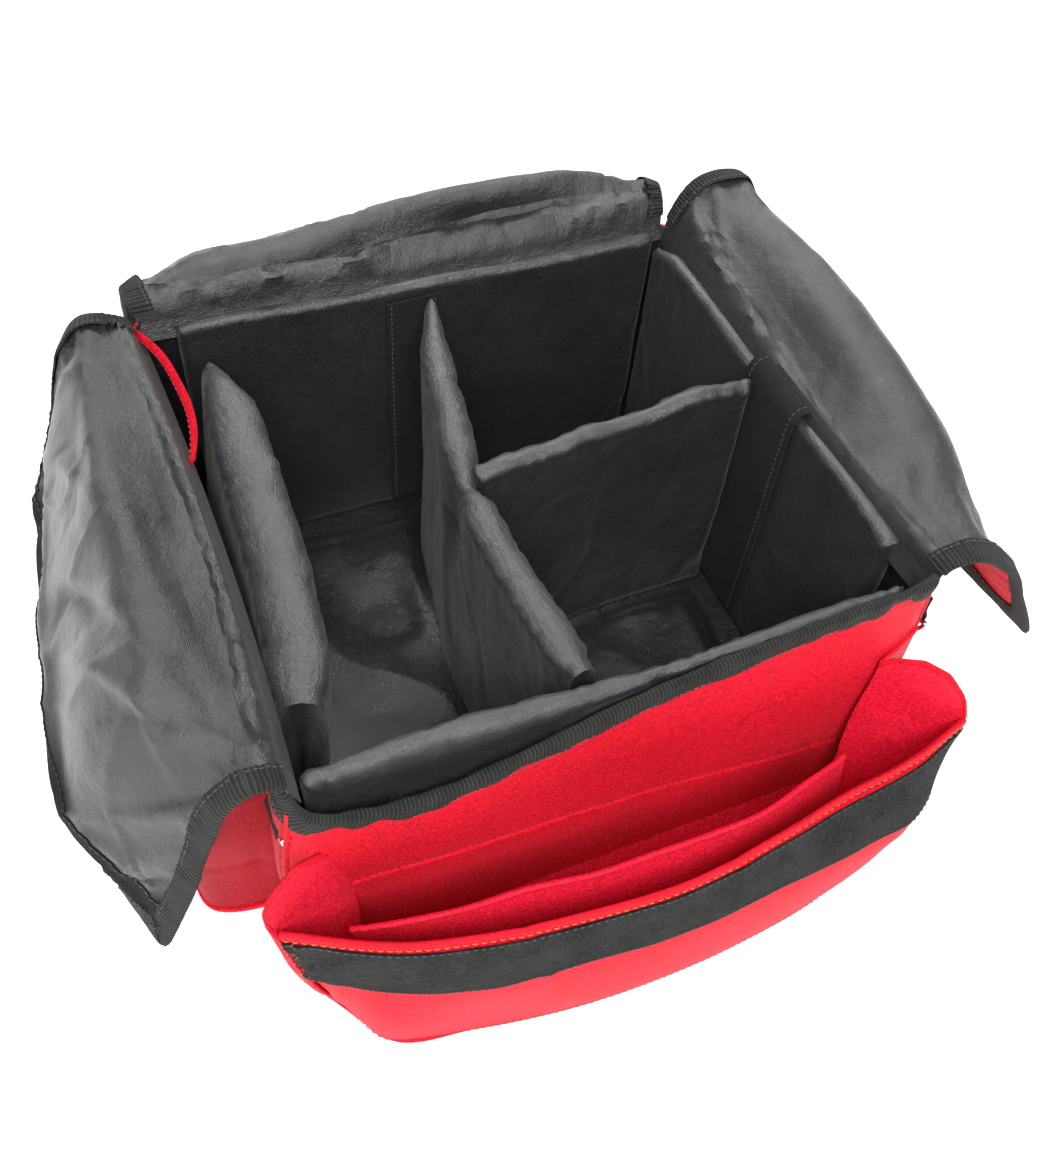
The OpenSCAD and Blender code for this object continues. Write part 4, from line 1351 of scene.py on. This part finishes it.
def pocket_loop_strip():
    """The black loop tape across the pocket's front."""
    grid, n, sign = pocket_panel_grid(180, 60)
    band, n = grid[:, LOOP_ROWS], n[:, LOOP_ROWS]
    u = np.linspace(0, 1, 180)[:, None]
    fray = np.where(u < 0.02, 1.0, 0.0) * waves(band, 83, 6) * 1.2
    band = band + n * (0.3 + waves(band, 84, 18) * 0.12)[..., None]
    band = band + np.array([1.0, 0, 0]) * fray[..., None]
    shape = Shape("pocket_loop_strip")
    shape.slab(band, 0.0, 1.3, LOOP_TAPE, flip=sign < 0)
    for column, offset in ((0, 0.8), (-1, -0.8)):
        shape.stitches(band[:, column] + n[:, column] * 1.35 + UP * offset, n[:, column], DARK_STITCH,
                       2.8, 1.4, 0.28, 7)
    loose_ends(shape, band)
    fold_pocket(shape.make(), "hook_loop_tape", "pocket_loop_tape")


def pocket_slot_panel():
    """The organizer panel inside the pocket, with its stitched slots."""
    top = resample([(-163, -194, 108), (-129, -202, 110), (-77, -209, 110), (-12, -215, 109),
                    (22, -217, 109), (67, -214, 110), (100, -207, 111), (124, -199, 110)], 110)
    foot = resample([(-140, -208, 12), (-100, -224, 12), (-50, -234, 12), (-12, -238, 12),
                     (22, -238, 12), (67, -236, 12), (100, -230, 12), (122, -222, 12)], 110)
    v = np.linspace(0, 1, 30)[None, :, None]
    grid = foot[:, None] * (1 - v) + top[:, None] * v
    grid[..., 1] += waves(grid, 86, 46, (1, 1, 4)) * 1.0
    n = normals(grid)
    n *= np.sign(n[50, 15, 1])
    shape = Shape("pocket_slot_panel")
    # The slot panel and its top edge wear the brighter copy of the red: painted light.
    shape.slab(grid, -0.6, 0.6, RED_PAINTED_LIGHT)
    shape.tube(grid[:, -1], np.tile([0, 1.0, 0], (110, 1)), np.tile(UP, (110, 1)),
               [(-1.2, -3.6), (-1.5, 0), (0, 1.0), (1.5, 0), (1.2, -3.6)], RED_PAINTED_LIGHT)
    for x in SLOTS:
        i = int(np.argmin(np.abs(grid[:, -1, 0] - x)))
        shape.stitches(grid[i, 2:] + n[i, 2:] * 0.66, n[i, 2:], RED_STITCH, 2.6, 1.3, 0.32, 9)
    fold_pocket(shape.make(), "red_cloth", "pocket_organizer")


pocket_front_obj = pocket_front_panel()
pocket_top_hem()
pocket_loop_strip()
pocket_slot_panel()

# levels from the top edge down to the foot; each runs from the bag's wall to the pocket's front
GUSSETS = {
    -1: [[(-180, -166.5, 168), (-170, -168, 156), (-158, -170, 144), (-169, -173, 152),
          (-182, -177, 157), (-196, -184, 151), (-203, -189, 141), (-198, -193, 125)],
         [(-180, -166.5, 75), (-166, -168, 73), (-152, -171, 72), (-164, -179, 74), (-178, -186, 76),
          (-190, -193, 76), (-192, -198, 75), (-188, -201, 75)],
         [(-170, -166, 3), (-160, -172, 3), (-154, -182, 3), (-156, -192, 3), (-162, -198, 3),
          (-165, -202, 3), (-166, -205, 3), (-166, -206, 3)]],
    1: [[(174, -166.5, 164), (163, -169, 152), (154, -171, 147), (162, -176, 154), (171, -184, 158),
         (182, -195, 153), (192, -204, 137), (193, -210, 125)],
        [(174, -166.5, 75), (162, -170, 73), (150, -174, 72), (160, -184, 74), (173, -194, 76),
         (183, -203, 76), (188, -208, 76), (188, -211, 76)],
        [(168, -166, 3), (158, -172, 3), (152, -184, 3), (156, -196, 3), (162, -203, 3),
         (165, -207, 3), (166, -210, 3), (166, -211, 3)]],
}


def gusset(side):
    """The folding end wall between the bag and the pocket's front."""
    grid = net(GUSSETS[side][::-1], 40, 60, crisp=True)
    grid = grid + normals(grid) * (waves(grid, 90 + side, 34) * 0.7
                                   + creases(grid, 92 + side, 38) * 0.9)[..., None] * smooth(
                                       (grid[..., 1:2] + 168) / -10)
    name = "left" if side < 0 else "right"
    shape = Shape(f"pocket_{name}_gusset_cloth")
    # The gusset wears the brighter copy of the red: painted light.
    shape.slab(grid, -0.6, 0.6, RED_PAINTED_LIGHT)
    n = normals(grid)
    shape.tube(grid[-1], n[-1], np.tile([0, 0, 1.0], (60, 1)),
               [(-1.0, -4.0), (-1.2, 0), (0, 0.8), (1.2, 0), (1.0, -4.0)], RED)
    obj = fold_pocket(shape.make(), "red_cloth", f"pocket_gusset_{name}")
    return sheet(obj)


gusset(-1)
gusset(1)


def pocket_floor():
    """The cloth under the pocket, crumpled between the wall and the front."""
    foot = resample(FOOT, 80)
    wall = foot.copy()
    wall[:, 1] = -HALF_D + 0.6
    v = np.linspace(0, 1, 24)[None, :, None]
    grid = wall[:, None] * (1 - v) + foot[:, None] * v
    grid[..., 2] = 2.2
    inside = smooth((-grid[..., 1] - 170) / 14) * smooth((240 + grid[..., 1]) / 14)
    grid[..., 2] += (2.0 * creases(grid, 95, 50) + 1 + waves(grid, 96, 60)) * inside
    shape = Shape("pocket_floor_cloth")
    # The pocket's floor wears the brighter copy of the red: painted light.
    shape.slab(grid, -0.6, 0.6, RED_PAINTED_LIGHT)
    fold_pocket(shape.make(), "red_cloth", "pocket_bottom")


pocket_floor()

# ---------------------------------------------------------------- left pocket


def pouch_grid():
    """A soft open pouch against the left wall, under the flap."""
    plan = plan_line([(POUCH_ROOT, -119), (-206, -121), (-228, -113), (-235, -90), (-236, 0),
                      (-235, 90), (-228, 112), (-206, 119), (POUCH_ROOT, 117)], 110)
    z = np.linspace(0, 1, 34)
    grid = np.repeat(plan[:, None], 34, 1)
    for k, h in enumerate(z):
        pinch = 1 - 0.08 * h - 0.05 * (1 - h) ** 6
        grid[:, k, 0] = POUCH_ROOT + (grid[:, k, 0] - POUCH_ROOT) * pinch
        grid[:, k, 1] *= 1 - 0.02 * h
        grid[:, k, 2] = 2.0 + 124 * h
    grid += normals(grid) * ((waves(grid, 97, 60) * 1.8 + creases(grid, 98, 60) * 1.6)
                             * smooth((-grid[..., 0] - 183) / 12))[..., None]
    grid[..., 2] = np.maximum(grid[..., 2], 1.2)
    return grid


def pouch_bottom(body_grid):
    """Rings that close the pouch below, drawn in towards the wall."""
    rings = []
    for t in np.linspace(1, 0, 12)[:-1]:
        ring = body_grid[:, 0].copy()
        ring[:, 0] = POUCH_ROOT + (ring[:, 0] - POUCH_ROOT) * (1 - t)
        ring[:, 2] = 1.4
        rings.append(ring)
    return np.stack(rings, 1)


def left_side_pouch():
    """The pouch on the left wall, with its hem and the seam round its foot."""
    side = pouch_grid()
    grid = np.concatenate([pouch_bottom(side), side], 1)
    n = normals(grid)
    flip = n[55, 30, 0] > 0
    shape = Shape("left_side_pouch")
    # The pouch wears the darker copy of the red: painted shade.
    shape.slab(grid, -1.4, 0.0, RED_PAINTED_SHADE, flip=flip)
    n = n * (-1 if flip else 1)
    up = np.tile(UP, (110, 1))
    # Its hem is in the darker red too: painted shade.
    shape.tube(side[:, -1], n[:, -1], up,
               [(-2.0, -7.0), (-2.2, -1), (-0.8, 1.4), (0.8, 1.4), (1.6, -1), (1.2, -7.0)], RED_PAINTED_SHADE)
    shape.tube(side[:, 1], n[:, 12], up,
               [(-0.6, -1.6), (1.2, -1.4), (1.6, 0), (1.2, 1.6), (-0.6, 1.8)], RED)
    show_as(shape.make(), "bag", "red_cloth", "left_pocket")


left_side_pouch()

# ---------------------------------------------------------------- ring tabs and rings


def ring_tab(side):
    """Webbing folded round the ring's straight bar, sewn to the wall."""
    name = "left" if side < 0 else "right"
    low, high = box_mm(f"ring_tab_{name}")
    y0, y1 = low[1] + 0.2, high[1] - 0.2
    ring_low, ring_high = box_mm(f"d_ring_{name}")
    bar_z = ring_high[2] - 1.5
    bar_x = abs((ring_low[0] + ring_high[0]) / 2)
    r, top = 2.25, high[2]
    loop = [(bar_x - 2.1, top), (bar_x - 2.2, top - 7), (bar_x - r, bar_z + 1)]
    for a in np.linspace(180, 360, 13):
        loop.append((bar_x + r * math.cos(math.radians(a)), bar_z + r * math.sin(math.radians(a))))
    loop += [(bar_x + r * 0.9, bar_z + 2.5), (bar_x - 0.2, bar_z + 8), (bar_x - 0.6, top)]
    line = resample([(x * side, 0, z) for x, z in loop], 60)
    wide = np.linspace(y0, y1, 14)
    grid = np.repeat(line[:, None], 14, 1)
    grid[..., 1] = wide[None]
    shape = Shape(f"ring_{name}_webbing")
    shape.slab(grid, -0.55, 0.55, WEBBING)
    out = np.tile([side * 1.0, 0, 0], (14, 1))
    for row in (-3, -16):
        line = grid[row] + np.array([side * 0.6, 0, 0])
        shape.stitches(line, out, DARK_STITCH, 2.4, 1.2, 0.32, 11)
    return show_as(shape.make(), "bag", "webbing", f"ring_tab_{name}")


ring_tab(-1)
ring_tab(1)

# ---------------------------------------------------------------- carried-over CAD nodes and the end


def paint(node, material):
    """Gives a CAD node one finished material."""
    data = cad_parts[node].data
    data.materials.clear()
    data.materials.append(material)


for node in ("d_ring_left", "d_ring_right"):
    paint(node, STEEL)
    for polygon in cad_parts[node].data.polygons:
        polygon.use_smooth = True
paint("base_board", BOARD)

sheet(facing_obj)
